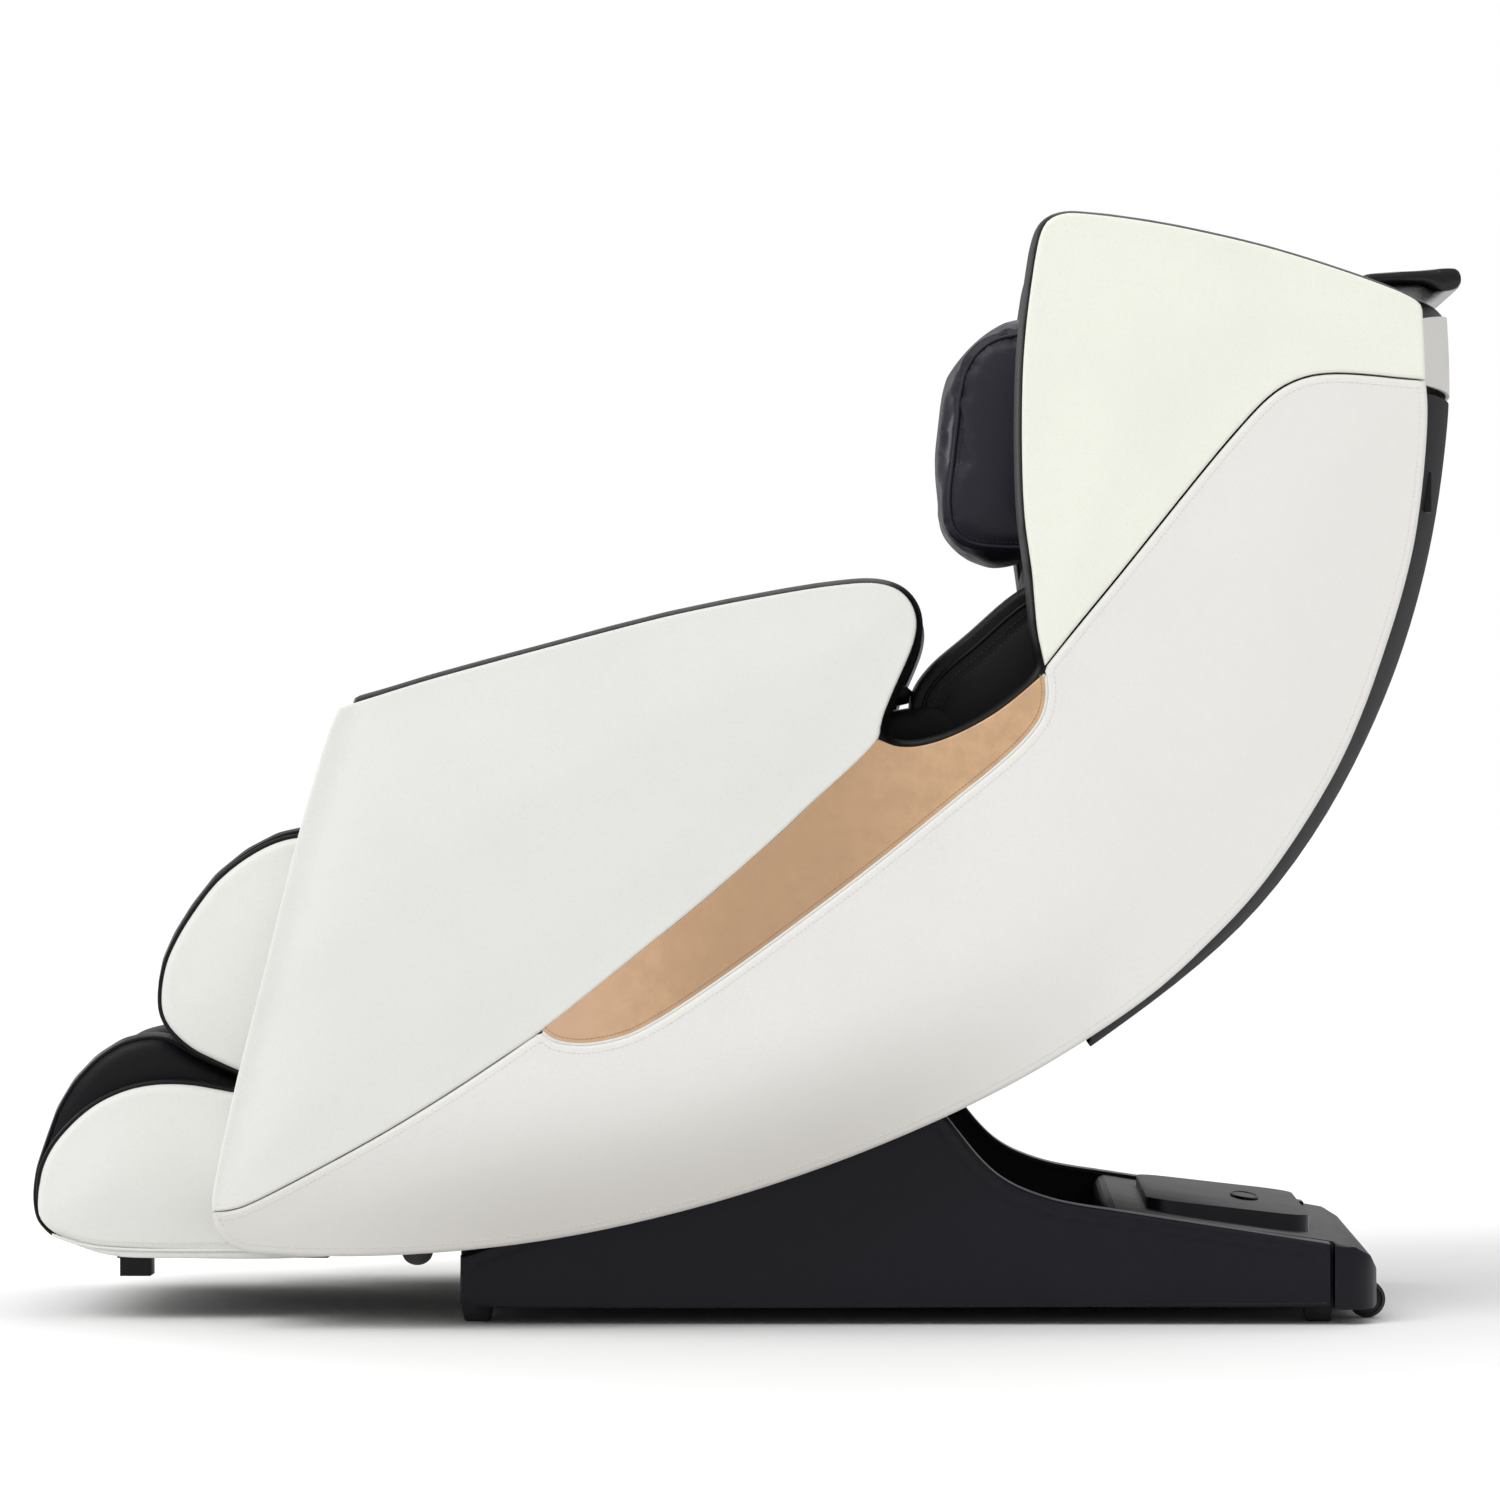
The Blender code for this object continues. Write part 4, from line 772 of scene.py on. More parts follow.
def finished_copy(node, material, bevel=0.0, levels=0, name=None):
    """The node's own shape with rounded edges and, where levels is given, a smoothly subdivided skin."""
    bm = welded(node)
    bmesh.ops.dissolve_limit(bm, angle_limit=math.radians(0.5), verts=bm.verts, edges=bm.edges)
    if levels:
        bmesh.ops.triangulate(bm, faces=[f for f in bm.faces if len(f.verts) > 4])
        bmesh.ops.join_triangles(bm, faces=bm.faces, angle_face_threshold=0.5, angle_shape_threshold=1.2)
        layer = bm.edges.layers.float.get("crease_edge") or bm.edges.layers.float.new("crease_edge")
        for edge in bm.edges:
            if len(edge.link_faces) == 2 and edge.calc_face_angle(0.0) > math.radians(35):
                edge[layer] = 1.0
    obj = from_bmesh(name or node + "_shell", bm, material)
    if levels:
        modifier = obj.modifiers.new("skin", "SUBSURF")
        modifier.levels = modifier.render_levels = levels
    if bevel:
        modifier = obj.modifiers.new("edges", "BEVEL")
        modifier.width = bevel
        modifier.segments = 2
        modifier.limit_method = "ANGLE"
        modifier.angle_limit = math.radians(30)
    if levels or bevel:
        obj = applied(obj)
        obj.data.shade_smooth()
        obj.data.set_sharp_from_angle(angle=math.radians(40))
    return obj


# ---- Geometry Nodes -----------------------------------------------------------------------------------------
STITCH_INPUTS = [("Geometry", "NodeSocketGeometry"), ("Spacing", "NodeSocketFloat"), ("Length", "NodeSocketFloat"),
                 ("Thickness", "NodeSocketFloat"), ("Thread", "NodeSocketMaterial")]


def stitch_tree():
    """Lays one stitch after another along the edges of a mesh."""
    if "stitches" in bpy.data.node_groups:
        return bpy.data.node_groups["stitches"]
    tree = bpy.data.node_groups.new("stitches", "GeometryNodeTree")
    tree.interface.new_socket(name="Geometry", in_out="OUTPUT", socket_type="NodeSocketGeometry")
    for label, kind in STITCH_INPUTS:
        tree.interface.new_socket(name=label, in_out="INPUT", socket_type=kind)
    given = tree.nodes.new("NodeGroupInput").outputs
    result = tree.nodes.new("NodeGroupOutput").inputs
    curve = add_node(tree, "GeometryNodeMeshToCurve", Mesh=given["Geometry"])
    points = add_node(tree, "GeometryNodeCurveToPoints", {"mode": "LENGTH"}, Curve=curve.outputs[0],
                      Length=given["Spacing"])
    stitch = add_node(tree, "GeometryNodeMeshUVSphere", Segments=6, Rings=5, Radius=0.5)
    size = add_node(tree, "ShaderNodeCombineXYZ", X=given["Length"], Y=given["Thickness"], Z=given["Thickness"])
    turn = add_node(tree, "FunctionNodeAlignRotationToVector", {"axis": "X"}, Vector=points.outputs["Tangent"])
    placed = add_node(tree, "GeometryNodeInstanceOnPoints", Points=points.outputs[0], Instance=stitch.outputs[0],
                      Rotation=turn.outputs[0], Scale=size.outputs[0])
    real = add_node(tree, "GeometryNodeRealizeInstances", Geometry=placed.outputs[0])
    smooth = add_node(tree, "GeometryNodeSetShadeSmooth", Geometry=real.outputs[0])
    coloured = add_node(tree, "GeometryNodeSetMaterial", Geometry=smooth.outputs[0], Material=given["Thread"])
    tree.links.new(coloured.outputs[0], result["Geometry"])
    return tree


def stitches(name, paths, material, spacing=None):
    """Rows of stitches along 3-D paths, as one piece."""
    sizes = bpy.context.scene.chair_sizes
    mesh = bpy.data.meshes.new(name)
    verts, edges = [], []
    for path in paths:
        first = len(verts)
        verts += [tuple(p) for p in path]
        edges += [(first + i, first + i + 1) for i in range(len(path) - 1)]
    mesh.from_pydata(verts, edges, [])
    modifier = new_object(name, mesh).modifiers.new("stitches", "NODES")
    modifier.node_group = stitch_tree()
    values = {"Spacing": spacing or sizes.stitch_spacing, "Length": sizes.stitch_length,
              "Thickness": sizes.stitch_thickness, "Thread": material}
    for item in modifier.node_group.interface.items_tree:
        if item.in_out == "INPUT" and item.name in values:
            modifier[item.identifier] = values[item.name]
    return applied(modifier.id_data)


# ---- Soft pads ----------------------------------------------------------------------------------------------
SEAM_STEP = 0.003  # between a seam's points, where pads are drawn in
TRIM_STEP = 0.006  # between the points of piping and of stitch rows on the pads


def prism(loop, low, high):
    """A solid with the given outline of the side view, from one x to another, for remeshed."""
    bm = bmesh.new()
    ends = [[bm.verts.new((x, p.x, p.y)) for p in loop] for x in (low, high)]
    bridge(bm, *ends)
    for end in ends:
        bm.faces.new(end)
    bmesh.ops.recalc_face_normals(bm, faces=bm.faces)
    return bm


def remeshed(solid, voxel, rounds, name):
    """A node, or a solid from prism, as an even skin of small quads with its edges rounded off."""
    bm = welded(solid) if isinstance(solid, str) else solid
    obj = from_bmesh(name, bm, finish(black_leather), sharp=180)
    modifier = obj.modifiers.new("skin", "REMESH")
    modifier.mode = "VOXEL"
    modifier.voxel_size = voxel
    ease = obj.modifiers.new("ease", "SMOOTH")
    ease.factor = 0.5
    ease.iterations = rounds
    return applied(obj)


def stuffed(obj, cap):
    """Blows the pad up like a stuffed cover, and lets no point move further than cap."""
    scene, sizes = bpy.context.scene, bpy.context.scene.chair_sizes
    rest = vertex_array(obj)
    cloth = obj.modifiers.new("stuffing", "CLOTH")
    cloth.settings.quality = 4
    cloth.settings.use_pressure = True
    cloth.settings.uniform_pressure_force = sizes.pressure
    cloth.settings.effector_weights.gravity = 0.0
    cloth.settings.tension_stiffness = 25.0
    cloth.point_cache.frame_start = 1
    cloth.point_cache.frame_end = sizes.settle_frames
    for step in range(1, sizes.settle_frames + 1):
        scene.frame_set(step)
    made = applied(obj)
    scene.frame_set(1)
    move = vertex_array(made) - rest
    far = np.linalg.norm(move, axis=1)
    share = np.minimum(1.0, cap / np.maximum(far, 1e-9))
    set_vertices(made, rest + move * share[:, None])
    return made


def vertex_array(obj, what="co"):
    """The vertices' places, or their normals, as rows."""
    found = np.zeros(len(obj.data.vertices) * 3, np.float32)
    obj.data.vertices.foreach_get(what, found)
    return found.reshape(-1, 3).astype(float)


def set_vertices(obj, places):
    obj.data.vertices.foreach_set("co", places.astype(np.float32).ravel())
    obj.data.update()


def seam_distance(places, seams):
    """How far each place is from the nearest seam."""
    points = [p for seam in seams for p in evenly(seam, SEAM_STEP)]
    tree = kdtree.KDTree(len(points))
    for i, p in enumerate(points):
        tree.insert(p, i)
    tree.balance()
    return np.array([tree.find(p)[2] for p in places])


def sewn(obj, seams, puff, reach, groove=0.0025, width=0.005):
    """Lets the foam rise between the seams, and draws it in along them."""
    places, normals = vertex_array(obj), vertex_array(obj, "normal")
    d = seam_distance(places, seams)
    rise = puff * (1 - np.exp(-((d / reach) ** 2))) - groove * np.exp(-((d / width) ** 2))
    set_vertices(obj, places + normals * rise[:, None])
    obj.data.shade_smooth()
    return obj


def covered(obj, maker):
    """The piece in one finish."""
    obj.data.materials.clear()
    obj.data.materials.append(finish(maker))
    return obj


def around(loop, x, depth=0.0):
    """A closed outline of the side view as a 3-D seam at x."""
    ring = inset(loop, depth) if depth else loop
    made = [Vector((x, p.x, p.y)) for p in ring]
    return [*made, made[0]]


def across(point, half):
    """A seam straight across the chair through a point of the side view."""
    return [Vector((-half, point.x, point.y)), Vector((half, point.x, point.y))]


def laid_on(obj, path, lift):
    """The path moved onto a piece's surface, lift above it, with its jitter eased out."""
    tree = BVHTree.FromPolygons([v.co for v in obj.data.vertices], [tuple(f.vertices) for f in obj.data.polygons])
    made = []
    for p in path:
        at, normal, _, _ = tree.find_nearest(p)
        made.append(at + normal * lift)
    for _ in range(2):
        made = [made[0], *[(a + 2 * b + c) / 4 for a, b, c in zip(made, made[1:], made[2:])], made[-1]]
    return made


def trimmed(obj, node, piped=(), stitched=(), maker=black_leather):
    """Piping and rows of stitches that lie on a pad."""
    if piped:
        radius = bpy.context.scene.chair_sizes.piping
        cords = []
        for path in piped:
            ring = laid_on(obj, evenly(path, TRIM_STEP), radius * 0.35)[:-1]
            cords.append(tube(f"{obj.name}_cord", ring, radius, finish(maker), closed=True))
        give(joined_pieces(f"{obj.name}_piping", cords), node, stands_for=False)
    if stitched:
        rows = [laid_on(obj, evenly(path, TRIM_STEP), 0.0002) for path in stitched]
        give(stitches(f"{obj.name}_stitches", rows, finish(black_thread)), node, stands_for=False)


def pad(node, name, seams, puff, reach, voxel=0.006, rounds=6, cap=None, groove=0.0025, solid=None,
        piped=(), stitched=(), maker=black_leather):
    """A stuffed leather pad that stands for a soft node."""
    obj = remeshed(solid or node, voxel, rounds, name)
    if cap:
        obj = stuffed(obj, cap)
    sewn(obj, seams, puff, reach, groove)
    covered(obj, maker)
    trimmed(obj, node, piped, stitched, maker)
    return give(obj, node)


# ---- Side shells --------------------------------------------------------------------------------------------
CUT_AT = 0.3665  # the x at which the side panels' outlines are read
SIDE_FACE, SIDE_BACK = 0.380, 0.3520  # the x of a side panel's face and back
ACCENT_FACE = 0.3785  # the accent lies a little deeper
FACING_AT, FACING_FACE, FACING_BACK = 0.31, 0.3525, 0.2705  # the leather behind the side panels
OUTLINE_STEP = 0.006  # between the points of a side panel's outline
MEET, MEET_LOOSELY = 0.0009, 0.0005  # the sewn panels grow by this much, so that they meet in their seam
MEET_HEM = 0.0021  # and the crescent by this much, where it meets the arm's hem
STITCH_LIFT = 0.0001  # stitches stand this far off a panel's face
ARM_FRONT = [Vector((-0.407, 0.6645)), Vector((-0.555, 0.129))]  # the arm's front edge, which rolls away
ARM_CREASE = [Vector(p) for p in (
    (-0.600, 0.275), (-0.500, 0.355), (-0.417, 0.421), (-0.254, 0.538), (-0.172, 0.589), (-0.088, 0.633),
    (-0.015, 0.670), (0.048, 0.699), (0.13, 0.730))]
CREASE_SLOPE, CREASE_SOFTNESS = 0.075, 0.012  # how steeply the arm leans back above its crease, and how soon
FRONT_ROLL, FRONT_REACH = 0.005, 0.022  # how far the arm's front edge falls away, and over what width
UNDER_ROLL, UNDER_REACH = 0.014, 0.045  # the same for the crescent's lower edge


def side_run(loop, key):
    """The run of an outline whose middle is furthest along key, a direction of the side view."""
    return max(runs_of(loop), key=lambda run: Vector(key).dot(run[len(run) // 2]))


def arm_shape(points, depth):
    """The arm panel breaks softly along a crease, above which it leans back, and it rolls away in front."""
    line = curve_through(ARM_CREASE)
    d = distances(points, line, closed=False)
    heights = np.interp(points[:, 0], [p.x for p in line], [p.y for p in line])
    away = np.where(points[:, 1] > heights, d, 0.0)
    soft = np.sqrt(away ** 2 + CREASE_SOFTNESS ** 2) - CREASE_SOFTNESS
    front = distances(points, ARM_FRONT, closed=False)
    return -CREASE_SLOPE * soft - FRONT_ROLL * np.exp(-front / FRONT_REACH)


def crescent_shape(crescent, arm, accent):
    """The crescent rolls under along its free edge, which is its lower and rear one."""
    edge = evenly(side_run(crescent, (0.6, -0.8)), 0.012)
    beside = np.minimum(distances(edge, arm), distances(edge, accent))
    free = [p for p, d in zip(edge, beside) if d > 0.010]
    return lambda points, depth: -UNDER_ROLL * np.exp(-distances(points, free, closed=False) / UNDER_REACH)


def tucked(crescent, hem):
    """The crescent's outline grown to meet its neighbours, and further along the arm's hem."""
    loosely, closely = inset(crescent, -MEET_LOOSELY), inset(crescent, -MEET_HEM)
    share = np.exp(-((distances(crescent, evenly(hem, 0.012), closed=False) / 0.006) ** 2))
    return [a.lerp(b, w) for a, b, w in zip(loosely, closely, share)]


def hem_curve():
    """The cubic z(y) that follows the crescent panel's lower edge."""
    loop = evenly(sections("crescent_panel_left", CUT_AT)[0], 0.004)
    places = np.linspace(-0.50, 0.50, 41)
    lowest = [min(p.y for p in loop if abs(p.x - y) < 0.008) for y in places]
    return [float(c) for c in np.polyfit(places, lowest, 3)]


def side_panels(word, side):
    """The four leather panels of a side, with the piping and stitches of their seams, and the shell's facing."""
    crown, face, back = bpy.context.scene.chair_sizes.panel_crown, side * SIDE_FACE, side * SIDE_BACK
    node = {piece: f"{piece}_panel_{word}" for piece in ("arm", "shoulder", "crescent", "accent")}
    cut = {piece: sections(name, side * CUT_AT)[0] for piece, name in node.items()}
    smooth = {piece: flowing(loop, OUTLINE_STEP) for piece, loop in cut.items()}
    arm, accent = inset(smooth["arm"], -MEET), inset(smooth["accent"], -MEET)
    arm_hem, accent_hem = side_run(cut["arm"], (-0.2, -1.0)), side_run(cut["accent"], (0.6, -1.0))
    shape = crescent_shape(cut["crescent"], arm, cut["accent"])
    panel = {
        "arm": Panel(arm, face, back, 0.0035, crown, 0.06, arm_shape),
        "shoulder": Panel(inset(smooth["shoulder"], -MEET_LOOSELY), face, back, 0.0040, crown, 0.07),
        "crescent": Panel(tucked(smooth["crescent"], arm_hem), face, back, 0.0045, crown, 0.08, shape),
        "accent": Panel(accent, side * ACCENT_FACE, back, 0.0015, 0.002, 0.03)}
    for piece, maker, slot, step in (
            ("arm", ivory_leather, "white_leather", None), ("shoulder", cream_leather, "white_leather", None),
            ("crescent", pearl_leather, "white_leather", None),
            ("accent", champagne_leather, "champagne_leather", 0.008)):
        give(panel[piece].build(f"{piece}_cover_{word}", finish(maker), step), node[piece])

    for name, run, piece, depth, lift, radius in (
            ("notch_piping", side_run(cut["accent"], (0.35, 1.0)), "accent", 0.0004, -0.0002, 0.0018),
            ("accent_piping", accent_hem, "accent", -0.0010, -0.0004, 0.0019),
            ("arm_piping", arm_hem, "arm", -0.0012, 0.0010, 0.0019)):
        path = panel[piece].seam_path(run, depth, 0.005, lift)
        cord = tube(f"{name}_{word}", path, radius, finish(ivory_leather))
        give(cord, node[piece], stands_for=False)

    rows = [panel["arm"].seam_path(arm_hem, 0.0085, lift=STITCH_LIFT)]
    for key in ((-0.6, 0.3), (0.1, 0.9)):
        rows.append(panel["crescent"].seam_path(side_run(cut["crescent"], key), 0.0080, lift=STITCH_LIFT))
    row = stitches(f"panel_stitches_{word}", rows, finish(ivory_thread))
    give(row, node["arm"], stands_for=False)
    gold_rows = [panel["accent"].seam_path(accent_hem, 0.0045, lift=STITCH_LIFT)]
    row = stitches(f"accent_stitches_{word}", gold_rows, finish(tan_thread), 0.0042)
    give(row, node["accent"], stands_for=False)

    for piece, maker in (("arm", ivory_leather), ("crescent", pearl_leather)):
        facing = flowing(sections(node[piece], side * FACING_AT)[0], 0.008, 60)
        strip = Panel(facing, side * FACING_FACE, side * FACING_BACK, 0.002, 0.0, 0.02)
        strip = strip.build(f"{piece}_facing_{word}", finish(maker), step=0.008)
        give(strip, node[piece], stands_for=False)


def near_and_far(low, high, side):
    """The x of a piece's face towards the seat, and of the one away from it."""
    return (low.x, high.x) if side > 0 else (high.x, low.x)


def side_lining(word, side):
    """The black padded wall inside each shell, with piping and a stitched border along its edges."""
    node = f"side_lining_{word}"
    low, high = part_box(node)
    inner, outer = near_and_far(low, high, side)
    loop = flowing(sections(node, inner + side * 0.010)[0], 0.006)
    rings = [around(loop, inner + side * 0.004), around(loop, outer - side * 0.004)]
    border = around(loop, inner + side * 0.001, 0.050)
    pad(node, f"{node}_pad", [*rings, border], 0.0035, 0.03, voxel=0.0055, rounds=5, groove=0.0022,
        piped=[rings[0]], stitched=[around(loop, inner, 0.046), around(loop, inner, 0.054)])


class SidePieces(bpy.types.Operator):
    """Make the arm, shoulder, crescent and accent panels of both sides, with their seams"""

    bl_idname = "massage_chair.side_panels"
    bl_label = "Side panels"

    def execute(self, context):
        for word, side in SIDES:
            side_panels(word, side)
        return {"FINISHED"}


class Linings(bpy.types.Operator):
    """Make the black padded walls inside the two side shells"""

    bl_idname = "massage_chair.linings"
    bl_label = "Side linings"

    def execute(self, context):
        for word, side in SIDES:
            side_lining(word, side)
        return {"FINISHED"}


# ---- Seat, back and head ------------------------------------------------------------------------------------
def middle_loop(node, step=0.006):
    return flowing(sections(node, 0.0)[0], step)


def seat_pad():
    """The seat's cushion: a middle of four blocks between two long bolsters."""
    node = "seat_pad"
    low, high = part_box(node)
    loop = middle_loop(node)
    border, bolster = 0.006, 0.075
    seams = [around(loop, x) for x in (low.x + border, low.x + bolster, high.x - bolster, high.x - border)]
    for share in (0.28, 0.52, 0.76):
        y = low.y + (high.y - low.y) * share
        top = max((p for p in loop if abs(p.x - y) < 0.008), key=lambda p: p.y)
        seams.append(across(top, high.x - 0.080))
    pad(node, "seat_cushion", seams, 0.008, 0.028, voxel=0.006, rounds=5, cap=0.010, groove=0.003,
        solid=prism(loop, low.x, high.x), piped=[seams[0], seams[3]],
        stitched=[around(loop, x) for x in (low.x + 0.071, high.x - 0.071)])


def back_pad():
    """The backrest's cushion: five channels, sewn across into blocks."""
    node = "back_pad"
    loop = middle_loop(node)
    channel, border, spread = 0.105, 0.2085, 0.004
    seams = [around(loop, x) for x in (-border, -channel, channel, border)]

    def front_at(height):
        return min((p for p in loop if abs(p.y - height) < 0.006), key=lambda p: p.x)

    for height in (0.60, 0.68, 0.76, 1.10):
        seams.append(across(front_at(height), channel))
    for height in (0.64, 0.72, 0.82):
        point = front_at(height)
        for _, side in SIDES:
            seams.append([Vector((side * x, point.x, point.y)) for x in (channel, border)])
    rows = (-channel - spread, -channel + spread, channel - spread, channel + spread)
    pad(node, "back_cushion", seams, 0.007, 0.028, voxel=0.006, rounds=4, cap=0.008, groove=0.003,
        stitched=[around(loop, x) for x in rows])


def head_pillow():
    """A plump pillow whose side panels are set in a piped, stitched border."""
    node = "head_pillow"
    low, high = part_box(node)
    loop = middle_loop(node, 0.004)
    seams = [around(loop, low.x + 0.003, 0.009), around(loop, high.x - 0.003, 0.009)]
    middle = min(loop, key=lambda p: p.x)
    seams.append(across(middle, high.x - 0.02))
    stitched = [around(loop, x, 0.0135) for x in (low.x, high.x)]
    pad(node, "pillow", seams, 0.006, 0.030, voxel=0.0045, rounds=3, cap=0.006, groove=0.0012,
        solid=prism(loop, low.x, high.x), piped=seams[:2], stitched=stitched, maker=pillow_leather)


def waist_wing(word, side):
    node = f"waist_wing_{word}"
    low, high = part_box(node)
    inner, outer = near_and_far(low, high, side)
    loop = flowing(sections(node, (low.x + high.x) / 2)[0], 0.005)
    seams = [around(loop, inner + side * 0.003, 0.008), around(loop, outer - side * 0.002, 0.014),
             around(loop, outer - side * 0.002, 0.028)]
    pad(node, f"{node}_pad", seams, 0.0035, 0.02, voxel=0.0045, rounds=5, groove=0.0022,
        solid=prism(loop, low.x, high.x), piped=seams[1:2],
        stitched=[around(loop, outer, depth) for depth in (0.024, 0.032)])


HIP_PAD = [Vector(p) for p in (
    (-0.330, 0.482), (-0.300, 0.556), (-0.100, 0.602), (0.060, 0.634), (0.150, 0.650), (0.205, 0.656),
    (0.232, 0.630), (0.225, 0.560), (0.180, 0.488), (-0.100, 0.478))]
HIP_PAD_DEPTH = 0.034
BOLSTER_LINE = [Vector(p) for p in (
    (-0.330, 0.590), (-0.230, 0.628), (-0.110, 0.652), (0.020, 0.668), (0.110, 0.672), (0.178, 0.673))]
BOLSTER_HEIGHT, BOLSTER_WIDTH = 0.012, 0.013  # halves of the roll's section
BOLSTER_OUT = 0.009  # from the wall to the roll's middle


def hip_pad(word, side):
    """The flat cushion along the inner wall beside the hips and thighs."""
    node = f"side_lining_{word}"
    wall, _ = near_and_far(*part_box(node), side)
    loop = turned_left(evenly(curve_through([*HIP_PAD, HIP_PAD[0]]), 0.006)[:-1])
    first, last = sorted((wall - side * 0.001, wall - side * HIP_PAD_DEPTH))
    obj = remeshed(prism(loop, first, last), 0.005, 6, f"hip_pad_{word}")
    inner = wall - side * 0.031
    sewn(obj, [around(loop, inner, 0.004), around(loop, inner, 0.045)], 0.005, 0.022)
    trimmed(obj, node, [around(loop, inner, 0.004)], [around(loop, inner, 0.041), around(loop, inner, 0.049)])
    give(obj, node, stands_for=False)


def squared_off(share):
    """A sine or cosine drawn a little towards a square, which fills out a roll's corners."""
    return math.copysign(abs(share) ** 0.85, share)


def arm_bolster(word, side):
    """A narrow roll along the inner side of the armrest, which ends in a round nub at the rear."""
    node = f"side_lining_{word}"
    inner, _ = near_and_far(*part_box(node), side)
    path = evenly(curve_through(BOLSTER_LINE), 0.008)
    total, walked = path_length(path), 0.0
    bm = bmesh.new()
    rings = []
    for a, b, c in zip(path[:1] + path[:-1], path, path[1:] + path[-1:]):
        walked += (b - a).length
        share = walked / total
        end = math.sqrt(max(0.0, 1 - abs(2 * share - 1) ** 14)) if 0 < share < 1 else 0.0
        size = max(0.02, end)
        d = (c - a).normalized()
        up = Vector((-d.y, d.x))
        ring = []
        for angle in [2 * math.pi * k / 20 for k in range(20)]:
            rise, out = math.sin(angle), math.cos(angle)
            at = b + up * BOLSTER_HEIGHT * size * squared_off(rise)
            x = inner - side * (BOLSTER_OUT + BOLSTER_WIDTH * size * squared_off(out))
            ring.append(bm.verts.new((x, at.x, at.y)))
        rings.append(ring)
    for ring, after in zip(rings, rings[1:]):
        bridge(bm, ring, after)
    bm.faces.new(rings[0])
    bm.faces.new(rings[-1])
    bmesh.ops.recalc_face_normals(bm, faces=bm.faces)
    roll = from_bmesh(f"arm_bolster_{word}", bm, finish(black_leather), sharp=80)
    give(roll, node, stands_for=False)


def rear_flap():
    node = "rear_flap"
    low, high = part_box(node)
    loop = middle_loop(node, 0.004)
    seams = [around(loop, low.x + 0.002, 0.003), around(loop, high.x - 0.002, 0.003)]
    obj = remeshed(prism(loop, low.x, high.x), 0.003, 4, "rear_flap_cover")
    sewn(obj, seams, 0.0008, 0.02, 0.0008, 0.003)
    give(covered(obj, glossy_leather), node)


class SeatAndBack(bpy.types.Operator):
    """Make the seat, back and waist pads, the arm bolsters and the flap at the top"""

    bl_idname = "massage_chair.seat_and_back"
    bl_label = "Seat and back"

    def execute(self, context):
        seat_pad()
        back_pad()
        for word, side in SIDES:
            waist_wing(word, side)
            hip_pad(word, side)
            arm_bolster(word, side)
        rear_flap()
        return {"FINISHED"}


class Pillow(bpy.types.Operator):
    """Make the head pillow with its piping and stitches"""

    bl_idname = "massage_chair.pillow"
    bl_label = "Head pillow"

    def execute(self, context):
        head_pillow()
        return {"FINISHED"}


# ---- Legrest and foot unit ----------------------------------------------------------------------------------
LEG_EDGE = 0.0035  # how much black edge shows round an ivory panel


def leg_panels(kind, word, side, crown):
    """A puffed ivory panel in a black edge. The foot unit's wraps over its edge towards the sole."""
    node = f"{kind}_panel_{word}"
    low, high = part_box(node)
    inner, outer = near_and_far(low, high, side)
    loop = flowing(sections(node, (low.x + high.x) / 2)[0], 0.005, 60)
    shown = inset(loop, LEG_EDGE)
    if kind == "foot":
        wrap = [min(1.0, max(0.0, (0.150 - p.y) / 0.035)) for p in loop]
        shown = [a.lerp(b, w) for a, b, w in zip(shown, inset(loop, -0.0012), wrap)]
    cover = Panel(shown, outer, inner + side * 0.001, 0.0085, crown, 0.045)
    give(cover.build(f"{kind}_cover_{word}", finish(ivory_leather), step=0.008), node)
    core = Panel(inset(loop, -0.001), outer - side * 0.0070, inner, 0.0030, 0.0, 0.02)
    core = core.build(f"{kind}_edge_{word}", finish(black_leather), step=0.03)
    give(core, node, stands_for=False)


def leg_cushion(kind, wall, middle, puff):
    """A cushion with two leg channels between its walls and a raised middle, piped along both ends."""
    node = f"{kind}_pad"
    low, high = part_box(node)
    loop = middle_loop(node)
    places = (low.x + 0.004, low.x + wall, -middle, middle, high.x - wall, high.x - 0.004)
    seams = [around(loop, x) for x in places]
    pad(node, f"{kind}_cushion", seams, puff, 0.016, voxel=0.005, rounds=7, groove=0.002,
        piped=[seams[0], seams[-1]], stitched=[around(loop, x) for x in (low.x + 0.010, high.x - 0.010)])


